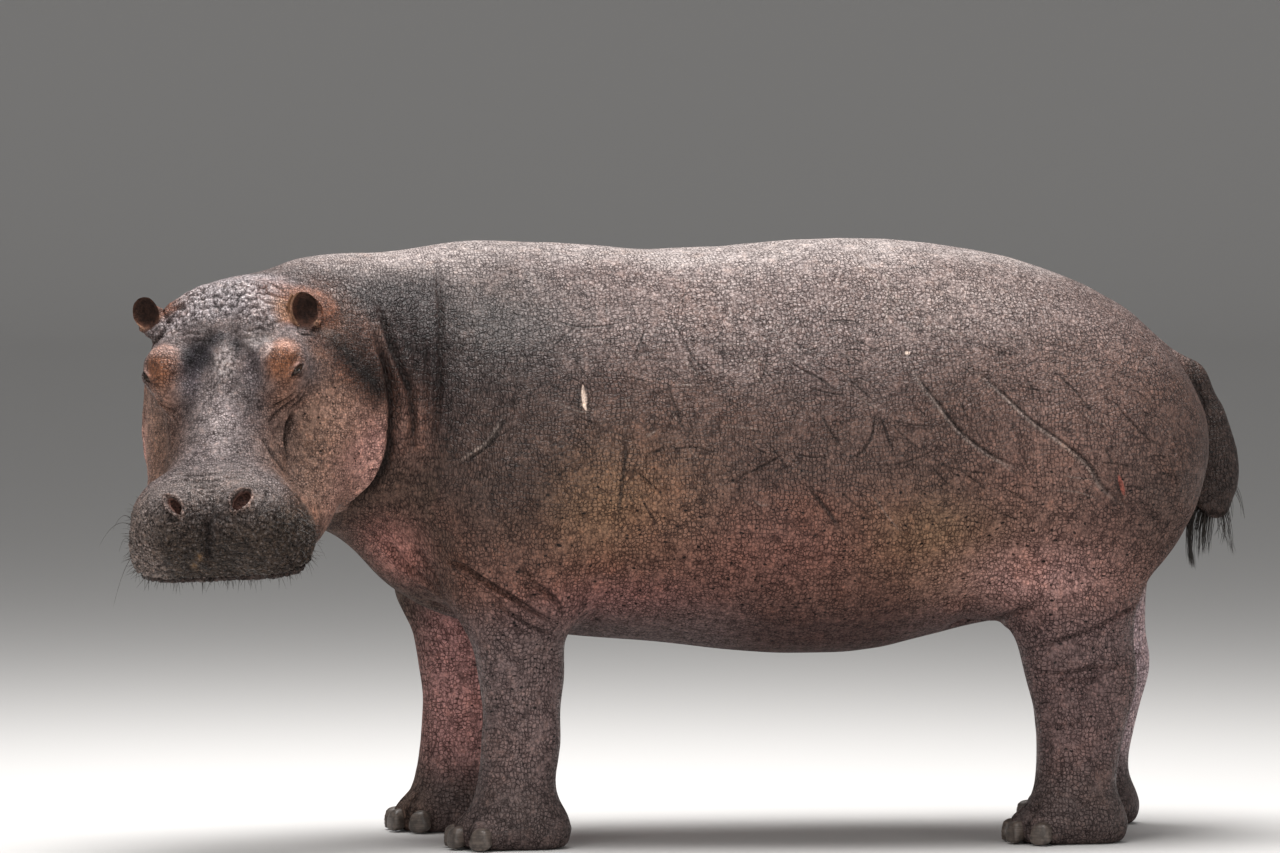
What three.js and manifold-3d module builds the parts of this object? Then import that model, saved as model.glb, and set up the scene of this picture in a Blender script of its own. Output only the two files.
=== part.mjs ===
// A common hippopotamus, adult, standing still with its head turned to its left and lowered.
// Millimetres. +Z is up, the body faces -Y, its left side is +X, and z = 0 is the ground.
//
// The animal is described as one smooth solid: a "field" is a function of a point that is
// negative inside the flesh and positive outside. Fields are blended like clay, turned into
// triangles piece by piece, and parted into head, neck, trunk, legs and feet by thin cuts.

import * as THREE from "three";
import { mergeVertices } from "three/addons/utils/BufferGeometryUtils.js";
import Module from "manifold-3d";

const wasm = await Module();
wasm.setup();

// ---------------------------------------------------------------- driving dimensions

const GAP = 0.3; // clearance between two nodes that meet
const BACK = 1500; // height of the back above the ground

// Size of the surface's cells on each part: small where the form is small, long along a limb.
const CELL = {
  trunk: [104, 165, 104],
  neck: [84, 92, 92],
  head: [50, 43, 43],
  upper: [84, 90, 96],
  lower: [52, 52, 80],
  foot: [46, 48, 44],
  ear: [14, 14, 14],
  tail: [34, 46, 50],
  tuft: [26, 26, 46],
};

// The trunk's profile from chest to rump: y along the body, top and bottom heights, half width.
const TRUNK = [
  { y: -1040, top: 1425, bottom: 700, half: 250 },
  { y: -900, top: BACK - 35, bottom: 600, half: 370 },
  { y: -760, top: BACK - 20, bottom: 545, half: 425 },
  { y: -560, top: BACK - 20, bottom: 512, half: 475 },
  { y: -350, top: BACK - 30, bottom: 490, half: 520 },
  { y: -100, top: BACK - 7, bottom: 462, half: 548 },
  { y: 150, top: BACK + 3, bottom: 466, half: 555 },
  { y: 400, top: BACK - 22, bottom: 525, half: 532 },
  { y: 600, top: BACK - 68, bottom: 560, half: 480 },
  { y: 800, top: BACK - 158, bottom: 670, half: 385 },
  { y: 960, top: BACK - 286, bottom: 900, half: 240 },
];
const BELLY = 0.44; // how far up its section the barrel is widest

// The head's own frame: origin midway between the eyes, u forward, v to the left, w up (dorsal).
const HEAD = { x: 443, y: -1494, z: 1180, yaw: 73.3, pitch: 50, roll: 4.9 };
const EYE = { u: -5, v: 180, w: -10, r: 24 };
const NOSTRIL = { u: 416, v: 88, w: -12 };
const EAR = { u: -140, v: 182, w: -22, length: 98, half: 38, thick: 25 };
const EARS = [
  { side: "left", v: EAR.v, raised: 0, along: [-0.72, -0.03, 0.62], opens: [0.5, 0.5, 0.7] },
  { side: "right", v: -EAR.v, raised: 20, along: [-0.6, -0.48, 0.52], opens: [0.6, -0.15, 0.75] },
];

// Legs: where each one stands. Left is +X. The right feet stand apart from the left ones.
const LEG_X = 300;
const LEGS = [
  { name: "foreleg_left", foot: "forefoot_left", x: LEG_X, y: -742, fore: true },
  { name: "foreleg_right", foot: "forefoot_right", x: -LEG_X, y: -820, fore: true },
  { name: "hindleg_left", foot: "hindfoot_left", x: LEG_X, y: 655, fore: false },
  { name: "hindleg_right", foot: "hindfoot_right", x: -LEG_X, y: 802, fore: false },
];
const KNEE = { fore: 490, hind: 515 }; // height of the elbow's and the knee's parting
const WRIST = { fore: 185, hind: 190 }; // height of the parting over each foot
const TOES = 4;
const FOOT = { ahead: 40, ring: 92, toe: 44, spread: 37, outwards: 6 };
const NAIL = { wide: 28, thick: 19, tall: 29, out: 46, ahead: 44, up: 31, low: 3, lean: 12 };

// ---------------------------------------------------------------- fields

const lerp = (a, b, t) => a + (b - a) * t;
const clamp = (v, low, high) => Math.min(Math.max(v, low), high);
const radians = (deg) => (deg * Math.PI) / 180;

// A row of stations read as smooth curves: cubic between stations, held at both ends.
function profile(stations, key) {
  const names = Object.keys(stations[0]).filter((n) => n !== key);
  const slope = (i, n) => {
    const a = stations[Math.max(i - 1, 0)];
    const b = stations[Math.min(i + 1, stations.length - 1)];
    return (b[n] - a[n]) / (b[key] - a[key]);
  };
  return (s) => {
    let i = 0;
    while (i < stations.length - 2 && s > stations[i + 1][key]) i++;
    const a = stations[i];
    const b = stations[i + 1];
    const h = b[key] - a[key];
    const t = clamp((s - a[key]) / h, 0, 1);
    const t2 = t * t;
    const t3 = t2 * t;
    const out = {};
    for (const n of names) {
      out[n] =
        a[n] * (2 * t3 - 3 * t2 + 1) +
        b[n] * (3 * t2 - 2 * t3) +
        slope(i, n) * h * (t3 - 2 * t2 + t) +
        slope(i + 1, n) * h * (t3 - t2);
    }
    return out;
  };
}

// A long body whose sections are superellipses, read from stations along one axis.
// "widest" says how far up the section it is at its widest.
function loft(stations, key, power, endRound, widest) {
  const at = profile(stations, key);
  const first = stations[0][key];
  const last = stations[stations.length - 1][key];
  return (s, side, up) => {
    const p = at(s);
    const mid = lerp(p.bottom, p.top, widest);
    const tall = up > mid ? p.top - mid : mid - p.bottom;
    const a = Math.abs(side) / p.half;
    const b = Math.abs(up - mid) / tall;
    const r = Math.pow(Math.pow(a, power) + Math.pow(b, power), 1 / power);
    const wall = (r - 1) * Math.min(p.half, tall);
    const ends = Math.max(first - s, s - last);
    return smoothMax(wall, ends, endRound);
  };
}

function smoothMin(a, b, k) {
  const h = Math.max(k - Math.abs(a - b), 0) / k;
  return Math.min(a, b) - (h * h * k) / 4;
}

function smoothMax(a, b, k) {
  return -smoothMin(-a, -b, k);
}

// An ellipsoid with its own radii; the value is close to a distance near its surface.
function ellipsoid([x, y, z], [rx, ry, rz]) {
  return (px, py, pz) => {
    const a = (px - x) / rx;
    const b = (py - y) / ry;
    const c = (pz - z) / rz;
    const k0 = Math.hypot(a, b, c);
    const k1 = Math.hypot(a / rx, b / ry, c / rz);
    return k1 < 1e-9 ? -Math.min(rx, ry, rz) : (k0 * (k0 - 1)) / k1;
  };
}

// A tapered limb segment between two ball ends, optionally flattened across one axis.
function bone(a, b, ra, rb, flat = [1, 1, 1]) {
  const A = a.map((v, i) => v / flat[i]);
  const D = b.map((v, i) => v / flat[i] - A[i]);
  const l2 = D[0] ** 2 + D[1] ** 2 + D[2] ** 2;
  return (x, y, z) => {
    const p = [x / flat[0] - A[0], y / flat[1] - A[1], z / flat[2] - A[2]];
    const t = clamp((p[0] * D[0] + p[1] * D[1] + p[2] * D[2]) / l2, 0, 1);
    const q = Math.hypot(p[0] - D[0] * t, p[1] - D[1] * t, p[2] - D[2] * t);
    return (q - lerp(ra, rb, t)) * Math.min(...flat);
  };
}

// Adds lumps of clay one after another: each entry is [field, width of the blend].
function blend(base, ...adds) {
  return (x, y, z) => {
    let d = base(x, y, z);
    for (const [f, k] of adds) d = smoothMin(d, f(x, y, z), k);
    return d;
  };
}

function carve(base, ...cuts) {
  return (x, y, z) => {
    let d = base(x, y, z);
    for (const [f, k] of cuts) d = smoothMax(d, -f(x, y, z), k);
    return d;
  };
}

// A lump of clay for blend(), from a row of one of the tables below.
const lump = ({ at, radii, soft }) => [ellipsoid(at, radii), soft];

// A row of balls joined one to the next by tapered bones.
function chain(balls, flat, soft) {
  const links = balls.slice(1).map((b, i) => [bone(balls[i].at, b.at, balls[i].r, b.r, flat), soft]);
  return blend(links[0][0], ...links.slice(1));
}

// Reads a field that is written in a local frame from points of the outer frame.
function placed(f, matrix) {
  const e = matrix.clone().invert().elements;
  return (x, y, z) =>
    f(
      e[0] * x + e[4] * y + e[8] * z + e[12],
      e[1] * x + e[5] * y + e[9] * z + e[13],
      e[2] * x + e[6] * y + e[10] * z + e[14],
    );
}

// ---------------------------------------------------------------- trunk, neck and tail

const trunkLoft = loft(TRUNK, "y", 2.15, 190, BELLY);

// What swells the barrel, given for its left side.
const TRUNK_LUMPS = [
  { name: "shoulder", at: [325, -715, 960], radii: [130, 230, 330], soft: 120 },
  { name: "brisket", at: [0, -850, 800], radii: [290, 250, 215], soft: 120 },
  { name: "haunch", at: [255, 690, 960], radii: [235, 300, 330], soft: 130 },
  { name: "buttock", at: [155, 826, 1000], radii: [165, 165, 200], soft: 70 },
];

const trunkField = blend(
  (x, y, z) => trunkLoft(y, x, z),
  ...TRUNK_LUMPS.map(lump).map(([f, soft]) => [(x, y, z) => f(Math.abs(x), y, z), soft]),
);

// The neck's line bends to the left, from between the shoulders to the back of the skull.
const NECK = [
  { at: [0, -640, 1010], r: 420 },
  { at: [15, -960, 1095], r: 358 },
  { at: [120, -1200, 1130], r: 328 },
  { at: [245, -1370, 1160], r: 258 },
];
const neckField = chain(NECK, [0.86, 1, 1], 60);

const TAIL = [
  { at: [0, 880, 1207], r: 75 },
  { at: [0, 984, 1122], r: 68 },
  { at: [0, 1045, 1025], r: 60 },
  { at: [0, 1068, 925], r: 57 },
  { at: [0, 1064, 830], r: 52 },
];
const TAIL_FLAT = [0.66, 1, 1];
const tailField = chain(TAIL, TAIL_FLAT, 20);

const TUFT = [
  { at: [0, 1058, 820], r: 30 },
  { at: [0, 1046, 690], r: 10 },
];
const tuftField = chain(TUFT, TAIL_FLAT, 0);

// ---------------------------------------------------------------- legs

// Each limb bone by bone, from the top down. "back" and "out" are how far the bone's ends lie
// behind and outside the place where the leg stands, "up" their heights and "r" their radii.
const FORELEG = [
  { back: [0, -18], out: [0, 0], up: [900, 640], r: [195, 150], wide: 0.9, soft: 60 },
  { back: [-18, 0], out: [0, 0], up: [640, 430], r: [132, 100], wide: 0.9, soft: 60 },
  { back: [0, 0], out: [0, 2], up: [430, 270], r: [100, 91], wide: 0.94, soft: 40 },
  { back: [0, -18], out: [2, 6], up: [270, 120], r: [91, 98], wide: 1, soft: 40 },
];
const HINDLEG = [
  { back: [-30, -25], out: [-30, 0], up: [900, 640], r: [235, 165], wide: 0.85, soft: 60 },
  { back: [-25, 0], out: [0, 0], up: [640, 440], r: [152, 128], wide: 0.86, soft: 60 },
  { back: [0, 5], out: [0, 2], up: [440, 300], r: [128, 104], wide: 0.84, soft: 40 },
  { back: [5, -12], out: [2, 6], up: [300, 120], r: [104, 100], wide: 1, soft: 40 },
];
const ELBOW = { back: 44, up: 650, radii: [88, 86, 105], soft: 60 };
const HOCK = { back: 80, up: 400, radii: [62, 62, 85], soft: 50 };

function limbField({ x, y, fore }) {
  const outwards = Math.sign(x);
  const bones = (fore ? FORELEG : HINDLEG).map(({ back, out, up, r, wide, soft }) => {
    const [top, end] = [0, 1].map((i) => [x + outwards * out[i], y + back[i], up[i]]);
    return [bone(top, end, r[0], r[1], [wide, 1, 1]), soft];
  });
  const joint = fore ? ELBOW : HOCK;
  const knob = { at: [x, y + joint.back, joint.up], radii: joint.radii, soft: joint.soft };
  return blend(bones[0][0], ...bones.slice(1), lump(knob));
}

// Each foot spreads into short toes round its front; angles run from straight ahead.
function toesOf({ x, y }) {
  return Array.from({ length: TOES }, (_, i) => {
    const angle = radians(FOOT.spread * (i - (TOES - 1) / 2));
    return {
      angle,
      x: x + Math.sign(x) * FOOT.outwards + Math.sin(angle) * FOOT.ring * 1.08,
      y: y - FOOT.ahead - Math.cos(angle) * FOOT.ring,
    };
  });
}

function footField(leg) {
  const x = leg.x + Math.sign(leg.x) * FOOT.outwards;
  const pad = { at: [x, leg.y + 40, 40], radii: [90, 84, 62], soft: 40 };
  const toes = toesOf(leg).map((t) => ({ at: [t.x, t.y, 38], radii: [FOOT.toe, 54, 46], soft: 24 }));
  return blend(ellipsoid([x, leg.y - 10, 62], [112, 118, 92]), ...[pad, ...toes].map(lump));
}

// ---------------------------------------------------------------- head

const SKULL = [
  { u: -300, top: 0, bottom: -330, half: 175 },
  { u: -200, top: 38, bottom: -420, half: 215 },
  { u: -90, top: 42, bottom: -435, half: 205 },
  { u: 0, top: 8, bottom: -425, half: 170 },
  { u: 110, top: -24, bottom: -395, half: 152 },
  { u: 210, top: -34, bottom: -350, half: 150 },
  { u: 330, top: -30, bottom: -305, half: 165 },
  { u: 430, top: -60, bottom: -285, half: 165 },
];
const skullLoft = loft(SKULL, "u", 2.5, 90, 0.5);

// The muzzle: a rounded block that widens towards the lips.
const MUZZLE = { u: 368, long: 108, w: -132, tall: 130, top: 168, lip: 248, round: 88 };

function muzzle(u, v, w) {
  const t = clamp((w - MUZZLE.w) / (2 * MUZZLE.tall) + 0.5, 0, 1);
  const half = lerp(MUZZLE.lip, MUZZLE.top, t * t * 0.55 + t * 0.45);
  const q = [
    Math.abs(u - MUZZLE.u) - MUZZLE.long + MUZZLE.round,
    Math.abs(v) - half + MUZZLE.round,
    Math.abs(w - MUZZLE.w) - MUZZLE.tall + MUZZLE.round,
  ];
  const out = Math.hypot(...q.map((d) => Math.max(d, 0)));
  return out + Math.min(Math.max(...q), 0) - MUZZLE.round;
}

// What swells the skull. "side" is 0 for a pair, 1 for the left only, -1 for the right only:
// the head's turn presses the left jowl out against the neck and draws the right one in.
const HEAD_LUMPS = [
  { name: "rim of the eye", side: 0, at: [EYE.u - 4, 166, -16], radii: [50, 43, 42], soft: 26 },
  { name: "cheekbone", side: 0, at: [-105, 140, -140], radii: [115, 90, 115], soft: 60 },
  { name: "left jowl", side: 1, at: [-60, 182, -290], radii: [200, 140, 165], soft: 60 },
  { name: "right jowl", side: -1, at: [-60, 130, -290], radii: [200, 140, 165], soft: 60 },
  { name: "left jaw angle", side: 1, at: [-130, 232, -350], radii: [118, 105, 108], soft: 60 },
  { name: "right jaw angle", side: -1, at: [-130, 172, -350], radii: [118, 105, 108], soft: 60 },
  { name: "side of the jaw", side: 0, at: [150, 130, -290], radii: [185, 110, 108], soft: 60 },
  { name: "poll", side: 0, at: [-190, 0, -22], radii: [100, 140, 74], soft: 60 },
  { name: "nostril mound", side: 0, at: [400, 86, -46], radii: [62, 52, 46], soft: 40 },
];
const BROW = bone([-46, 150, -14], [42, 120, -32], 57, 44);

function headField() {
  const read = (side, f) => (u, v, w) => f(u, side ? side * v : Math.abs(v), w);
  return blend(
    skullLoft,
    [read(0, BROW), 28],
    [muzzle, 50],
    ...HEAD_LUMPS.map((row) => [read(row.side, lump(row)[0]), row.soft]),
  );
}

// An ear: a shallow cup on a short stalk, written along its own axes.
function earField(along, opens) {
  const a = new THREE.Vector3(...along).normalize();
  const n = new THREE.Vector3(...opens);
  n.addScaledVector(a, -n.dot(a)).normalize();
  const b = new THREE.Vector3().crossVectors(a, n);
  const frame = new THREE.Matrix4().makeBasis(b, n, a);
  const { half, thick } = EAR;
  const mid = EAR.length - half * 1.12;
  const stalk = bone([0, -4, -22], [0, -2, mid * 0.7], 28, 26);
  const leaf = carve(
    blend(ellipsoid([0, 0, mid], [half, thick, half * 1.15]), [stalk, 14]),
    [ellipsoid([0, thick * 0.92, mid + 3], [half * 0.78, thick * 1.05, half * 0.92]), 5],
  );
  return placed(leaf, frame);
}

// ---------------------------------------------------------------- from fields to triangles

// Surface nets: one vertex in every grid cell that the surface crosses, drawn on to the
// surface along the field's slope, and one quad round every grid edge that it crosses.
function polygonise(field, low, high, cell) {
  const n = low.map((v, i) => Math.max(2, Math.ceil((high[i] - v) / cell[i])) + 1);
  const at = (i, k) => low[k] + i * cell[k];
  const index = (i, j, k) => i + n[0] * (j + n[1] * k);
  const value = new Float32Array(n[0] * n[1] * n[2]);
  for (let k = 0; k < n[2]; k++) {
    for (let j = 0; j < n[1]; j++) {
      for (let i = 0; i < n[0]; i++) {
        const rim =
          i === 0 || j === 0 || k === 0 || i === n[0] - 1 || j === n[1] - 1 || k === n[2] - 1;
        const d = field(at(i, 0), at(j, 1), at(k, 2));
        value[index(i, j, k)] = rim ? Math.max(d, 0.5) : d;
      }
    }
  }
  const vertexOf = new Int32Array(value.length).fill(-1);
  const position = [];
  const corners = [0, 1, 2, 3, 4, 5, 6, 7].map((c) => [c & 1, (c >> 1) & 1, c >> 2]);
  const edges = [];
  for (let a = 0; a < 8; a++) {
    for (const bit of [1, 2, 4]) if (!(a & bit)) edges.push([a, a | bit]);
  }
  for (let k = 0; k < n[2] - 1; k++) {
    for (let j = 0; j < n[1] - 1; j++) {
      for (let i = 0; i < n[0] - 1; i++) {
        const v = corners.map((c) => value[index(i + c[0], j + c[1], k + c[2])]);
        const inside = v.filter((d) => d < 0).length;
        if (inside === 0 || inside === 8) continue;
        const sum = [0, 0, 0];
        let count = 0;
        for (const [a, b] of edges) {
          if (v[a] < 0 === v[b] < 0) continue;
          const t = v[a] / (v[a] - v[b]);
          for (let m = 0; m < 3; m++) sum[m] += lerp(corners[a][m], corners[b][m], t);
          count++;
        }
        const start = sum.map((s, m) => low[m] + ([i, j, k][m] + s / count) * cell[m]);
        vertexOf[index(i, j, k)] = position.length / 3;
        position.push(...ontoSurface(field, start, cell));
      }
    }
  }
  const triangles = [];
  const quad = (a, b, c, d, flip) => {
    const dist = (p, q) =>
      Math.hypot(...[0, 1, 2].map((m) => position[3 * p + m] - position[3 * q + m]));
    const [q, r, s, t] = flip ? [a, d, c, b] : [a, b, c, d];
    if (dist(q, s) < dist(r, t)) triangles.push(q, r, s, q, s, t);
    else triangles.push(q, r, t, r, s, t);
  };
  for (let k = 0; k < n[2] - 1; k++) {
    for (let j = 0; j < n[1] - 1; j++) {
      for (let i = 0; i < n[0] - 1; i++) {
        const here = value[index(i, j, k)] < 0;
        const cellAt = (a, b, c) => vertexOf[index(i - a, j - b, k - c)];
        if (here !== value[index(i + 1, j, k)] < 0) {
          quad(cellAt(0, 1, 1), cellAt(0, 0, 1), cellAt(0, 0, 0), cellAt(0, 1, 0), !here);
        }
        if (here !== value[index(i, j + 1, k)] < 0) {
          quad(cellAt(1, 0, 1), cellAt(1, 0, 0), cellAt(0, 0, 0), cellAt(0, 0, 1), !here);
        }
        if (here !== value[index(i, j, k + 1)] < 0) {
          quad(cellAt(1, 1, 0), cellAt(0, 1, 0), cellAt(0, 0, 0), cellAt(1, 0, 0), !here);
        }
      }
    }
  }
  return { position, triangles };
}

function ontoSurface(field, start, cell) {
  const p = [...start];
  const e = 0.5;
  const reach = cell.map((c) => c * 0.45);
  for (let step = 0; step < 3; step++) {
    const d = field(...p);
    const g = [0, 1, 2].map((m) => {
      const q = [...p];
      q[m] += e;
      return (field(...q) - d) / e;
    });
    const g2 = g[0] ** 2 + g[1] ** 2 + g[2] ** 2;
    if (g2 < 1e-6) break;
    for (let m = 0; m < 3; m++) {
      const moved = p[m] - (0.9 * d * g[m]) / g2;
      p[m] = clamp(moved, start[m] - reach[m], start[m] + reach[m]);
    }
  }
  return p;
}

// True where no edge is shared by more than two triangles.
function isSimple(triangles) {
  const seen = new Set();
  for (let t = 0; t < triangles.length; t += 3) {
    for (let e = 0; e < 3; e++) {
      const name = `${triangles[t + e]} ${triangles[t + ((e + 1) % 3)]}`;
      if (seen.has(name)) return false;
      seen.add(name);
    }
  }
  return true;
}

// Where two sheets of a thin form share a cell, the grid is moved a little until they don't.
function solidOfField(field, low, high, cell) {
  let mesh;
  for (let shift = 0; shift < 1; shift += 0.13) {
    const from = low.map((v, m) => v - shift * cell[m]);
    mesh = polygonise(field, from, high, cell);
    if (isSimple(mesh.triangles)) break;
  }
  const { position, triangles } = mesh;
  const whole = new wasm.Manifold(
    new wasm.Mesh({
      numProp: 3,
      vertProperties: new Float32Array(position),
      triVerts: new Uint32Array(triangles),
    }),
  );
  return largest(whole);
}

const largest = (solid) =>
  solid.decompose().reduce((a, b) => (b.volume() > a.volume() ? b : a));

// A three.js geometry, set in place by a matrix, as a solid for joining and cutting.
function solidOf(geometry, matrix) {
  const g = geometry.clone();
  for (const name of ["normal", "uv"]) g.deleteAttribute(name);
  if (matrix) g.applyMatrix4(matrix);
  const merged = mergeVertices(g, 1e-3);
  return new wasm.Manifold(
    new wasm.Mesh({
      numProp: 3,
      vertProperties: new Float32Array(merged.attributes.position.array),
      triVerts: new Uint32Array(merged.index.array),
    }),
  );
}

function boxSolid(low, high) {
  const size = low.map((v, i) => high[i] - v);
  const mid = low.map((v, i) => (v + high[i]) / 2);
  return solidOf(
    new THREE.BoxGeometry(...size),
    new THREE.Matrix4().makeTranslation(...mid),
  );
}

// A solid with every vertex moved outwards by a clearance, for cutting its own nest.
function grown(solid, by) {
  const m = solid.getMesh();
  const n = m.numVert;
  const at = (i) => new THREE.Vector3().fromArray(m.vertProperties, i * m.numProp);
  const normals = Array.from({ length: n }, () => new THREE.Vector3());
  for (let t = 0; t < m.triVerts.length; t += 3) {
    const [a, b, c] = [0, 1, 2].map((e) => m.triVerts[t + e]);
    const face = at(b).sub(at(a)).cross(at(c).sub(at(a))).normalize();
    for (const i of [a, b, c]) normals[i].add(face);
  }
  const moved = new Float32Array(3 * n);
  for (let i = 0; i < n; i++) {
    at(i).addScaledVector(normals[i].normalize(), by * 1.3).toArray(moved, 3 * i);
  }
  return new wasm.Manifold(
    new wasm.Mesh({ numProp: 3, vertProperties: moved, triVerts: m.triVerts }),
  );
}

const SKIN = { color: 0x6b5a55, roughness: 0.6 };
const MUZZLE_SKIN = { color: 0x574b45, roughness: 0.55 };
const LEG_SKIN = { color: 0x6e5a52, roughness: 0.65 };
const EYE_GLASS = { color: 0x2a1c14, roughness: 0.1 };
const NAIL_HORN = { color: 0x4a423c, roughness: 0.5 };
const HAIR = { color: 0x1a1614, roughness: 0.6 };

function meshOf(name, solid, finish) {
  const m = largest(solid).getMesh();
  const g = new THREE.BufferGeometry();
  const xyz = new Float32Array(m.numVert * 3);
  for (let i = 0; i < m.numVert; i++) {
    xyz.set(m.vertProperties.subarray(i * m.numProp, i * m.numProp + 3), i * 3);
  }
  g.setAttribute("position", new THREE.BufferAttribute(xyz, 3));
  g.setIndex(new THREE.BufferAttribute(new Uint32Array(m.triVerts), 1));
  g.computeVertexNormals();
  const mesh = new THREE.Mesh(g, new THREE.MeshStandardMaterial({ ...finish, metalness: 0 }));
  mesh.name = name;
  return mesh;
}

// ---------------------------------------------------------------- outlines that part the body

// A prism over an outline of [along, up] points, between two places across it.
function prism(points, low, high, matrix) {
  const shape = new THREE.Shape(points.map((p) => new THREE.Vector2(...p)));
  const geometry = new THREE.ExtrudeGeometry(shape, {
    depth: high - low,
    bevelEnabled: false,
  });
  geometry.translate(0, 0, low);
  return solidOf(geometry, matrix);
}

// The same outline, moved outwards by a clearance. The points run anticlockwise.
function widened(points, by) {
  const normal = (a, b) => {
    const l = Math.hypot(b[0] - a[0], b[1] - a[1]);
    return [(b[1] - a[1]) / l, -(b[0] - a[0]) / l];
  };
  return points.map((p, i) => {
    const m = normal(points.at(i - 1), p);
    const n = normal(p, points[(i + 1) % points.length]);
    const k = by / (1 + m[0] * n[0] + m[1] * n[1]);
    return [p[0] + (m[0] + n[0]) * k, p[1] + (m[1] + n[1]) * k];
  });
}

const Y_Z_ALONG_X = new THREE.Matrix4().makeBasis(
  new THREE.Vector3(0, 1, 0),
  new THREE.Vector3(0, 0, 1),
  new THREE.Vector3(1, 0, 0),
);
const U_W_ALONG_V = new THREE.Matrix4().makeBasis(
  new THREE.Vector3(1, 0, 0),
  new THREE.Vector3(0, 0, 1),
  new THREE.Vector3(0, -1, 0),
);

// Behind the crown, round the corner of the jaw and forward under the chin.
const HEAD_OUTLINE = [
  [-262, 330], [-275, -60], [-285, -330], [-250, -430], [-150, -492],
  [40, -485], [230, -425], [640, -425], [640, 330],
];
const HEAD_REACH = { left: 350, right: 460 };

// The mouth: from the lips back under the cheek, with the lower jaw beneath it.
const MOUTH_OUTLINE = [
  [640, -236], [452, -238], [380, -268], [290, -262], [200, -228], [130, -228],
  [84, -290], [70, -560], [640, -560],
];

function headPrism(points, grow) {
  const outline = widened(points, grow);
  return prism(outline, -HEAD_REACH.left - grow, HEAD_REACH.right + grow, U_W_ALONG_V);
}

// The limb's part of the side: a doorway with a round top, from the belly's side outwards.
const DOORWAY = {
  fore: { half: 215, back: 5, spring: 640 },
  hind: { half: 262, back: -30, spring: 660 },
  steps: 12,
  rise: 1.15,
};

function legOutline({ y, fore }) {
  const { half, back, spring } = fore ? DOORWAY.fore : DOORWAY.hind;
  const mid = y + back;
  const arc = Array.from({ length: DOORWAY.steps + 1 }, (_, i) => {
    const a = (Math.PI * i) / DOORWAY.steps;
    return [mid + half * Math.cos(a), spring + half * DOORWAY.rise * Math.sin(a)];
  });
  return [[mid - half, -200], [mid + half, -200], ...arc];
}

const LEG_INNER = 95; // how near the middle plane a limb's part reaches
const LEG_OUTER = 700;

function legPrism(leg, grow) {
  const outline = widened(legOutline(leg), grow);
  const low = LEG_INNER - grow;
  const solid = prism(outline, low, LEG_OUTER, Y_Z_ALONG_X);
  return leg.x > 0 ? solid : solid.mirror([1, 0, 0]);
}

// ---------------------------------------------------------------- the whole animal as a field

const headGroup = new THREE.Group();
headGroup.name = "head_frame";
headGroup.position.set(HEAD.x, HEAD.y, HEAD.z);
{
  const yaw = radians(HEAD.yaw);
  const forward = new THREE.Vector3(Math.sin(yaw), -Math.cos(yaw), 0);
  const left = new THREE.Vector3(Math.cos(yaw), Math.sin(yaw), 0);
  const up = new THREE.Vector3(0, 0, 1);
  const level = new THREE.Matrix4().makeBasis(forward, left, up);
  const nod = new THREE.Matrix4().makeRotationY(radians(HEAD.pitch));
  const lean = new THREE.Matrix4().makeRotationX(radians(HEAD.roll));
  headGroup.quaternion.setFromRotationMatrix(level.multiply(nod).multiply(lean));
}
headGroup.updateMatrixWorld(true);
const headMatrix = headGroup.matrixWorld.clone();

const bodyField = blend(
  trunkField,
  [neckField, 120],
  [placed(headField(), headMatrix), 40],
  ...LEGS.map((leg) => [blend(limbField(leg), [footField(leg), 40]), 70]),
);
const bodyFromHead = placed(bodyField, headMatrix.clone().invert());

const hippo = new THREE.Group();
hippo.name = "hippopotamus";
hippo.add(headGroup);

// ---------------------------------------------------------------- head, jaw, eyes and ears

const ball = (r, wide, tall) => solidOf(new THREE.SphereGeometry(r, wide, tall));

function buildHead() {
  let head = solidOfField(bodyFromHead, [-330, -520, -600], [520, 420, 230], CELL.head);
  head = largest(head.intersect(headPrism(HEAD_OUTLINE, 0)));
  for (const side of [1, -1]) {
    const at = [EYE.u, side * EYE.v, EYE.w];
    const opening = [EYE.u + 8, side * (EYE.v + 20), EYE.w + 12];
    const socket = ball(EYE.r + GAP, 10, 7).translate(at);
    const slit = ball(1, 10, 6).scale([22, 20, 14]).translate(opening);
    head = head.subtract(socket).subtract(slit);
    const eye = ball(EYE.r, 10, 7).translate(at);
    headGroup.add(meshOf(side > 0 ? "eye_left" : "eye_right", eye, EYE_GLASS));
    const nostril = ball(1, 8, 6)
      .scale([17, 8, 26])
      .rotate([side * -22, 0, 0])
      .rotate([0, 0, side * 24])
      .translate([NOSTRIL.u, side * NOSTRIL.v, NOSTRIL.w]);
    head = head.subtract(nostril);
  }
  for (const ear of EARS) {
    const field = earField(ear.along, ear.opens);
    const reach = EAR.length + 20;
    const solid = solidOfField(field, [-reach, -reach, -reach], [reach, reach, reach], CELL.ear)
      .translate([EAR.u, ear.v, EAR.w + ear.raised]);
    headGroup.add(meshOf(`ear_${ear.side}`, solid, SKIN));
    head = head.subtract(grown(solid, GAP));
  }
  const jaw = head.intersect(headPrism(MOUTH_OUTLINE, 0));
  headGroup.add(meshOf("lower_jaw", jaw, MUZZLE_SKIN));
  headGroup.add(meshOf("head", head.subtract(headPrism(MOUTH_OUTLINE, GAP)), SKIN));
}

// ---------------------------------------------------------------- neck, trunk and tail

// The plane where the neck leaves the trunk leans forward towards the chest.
const COLLAR = { y: -950, z: 1100, lean: 15 };

function beforeCollar(grow) {
  const reach = 2400;
  const box = solidOf(new THREE.BoxGeometry(reach, reach, reach));
  return box
    .translate([0, -reach / 2 - grow, 0])
    .rotate([COLLAR.lean, 0, 0])
    .translate([0, COLLAR.y, COLLAR.z]);
}

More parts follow.
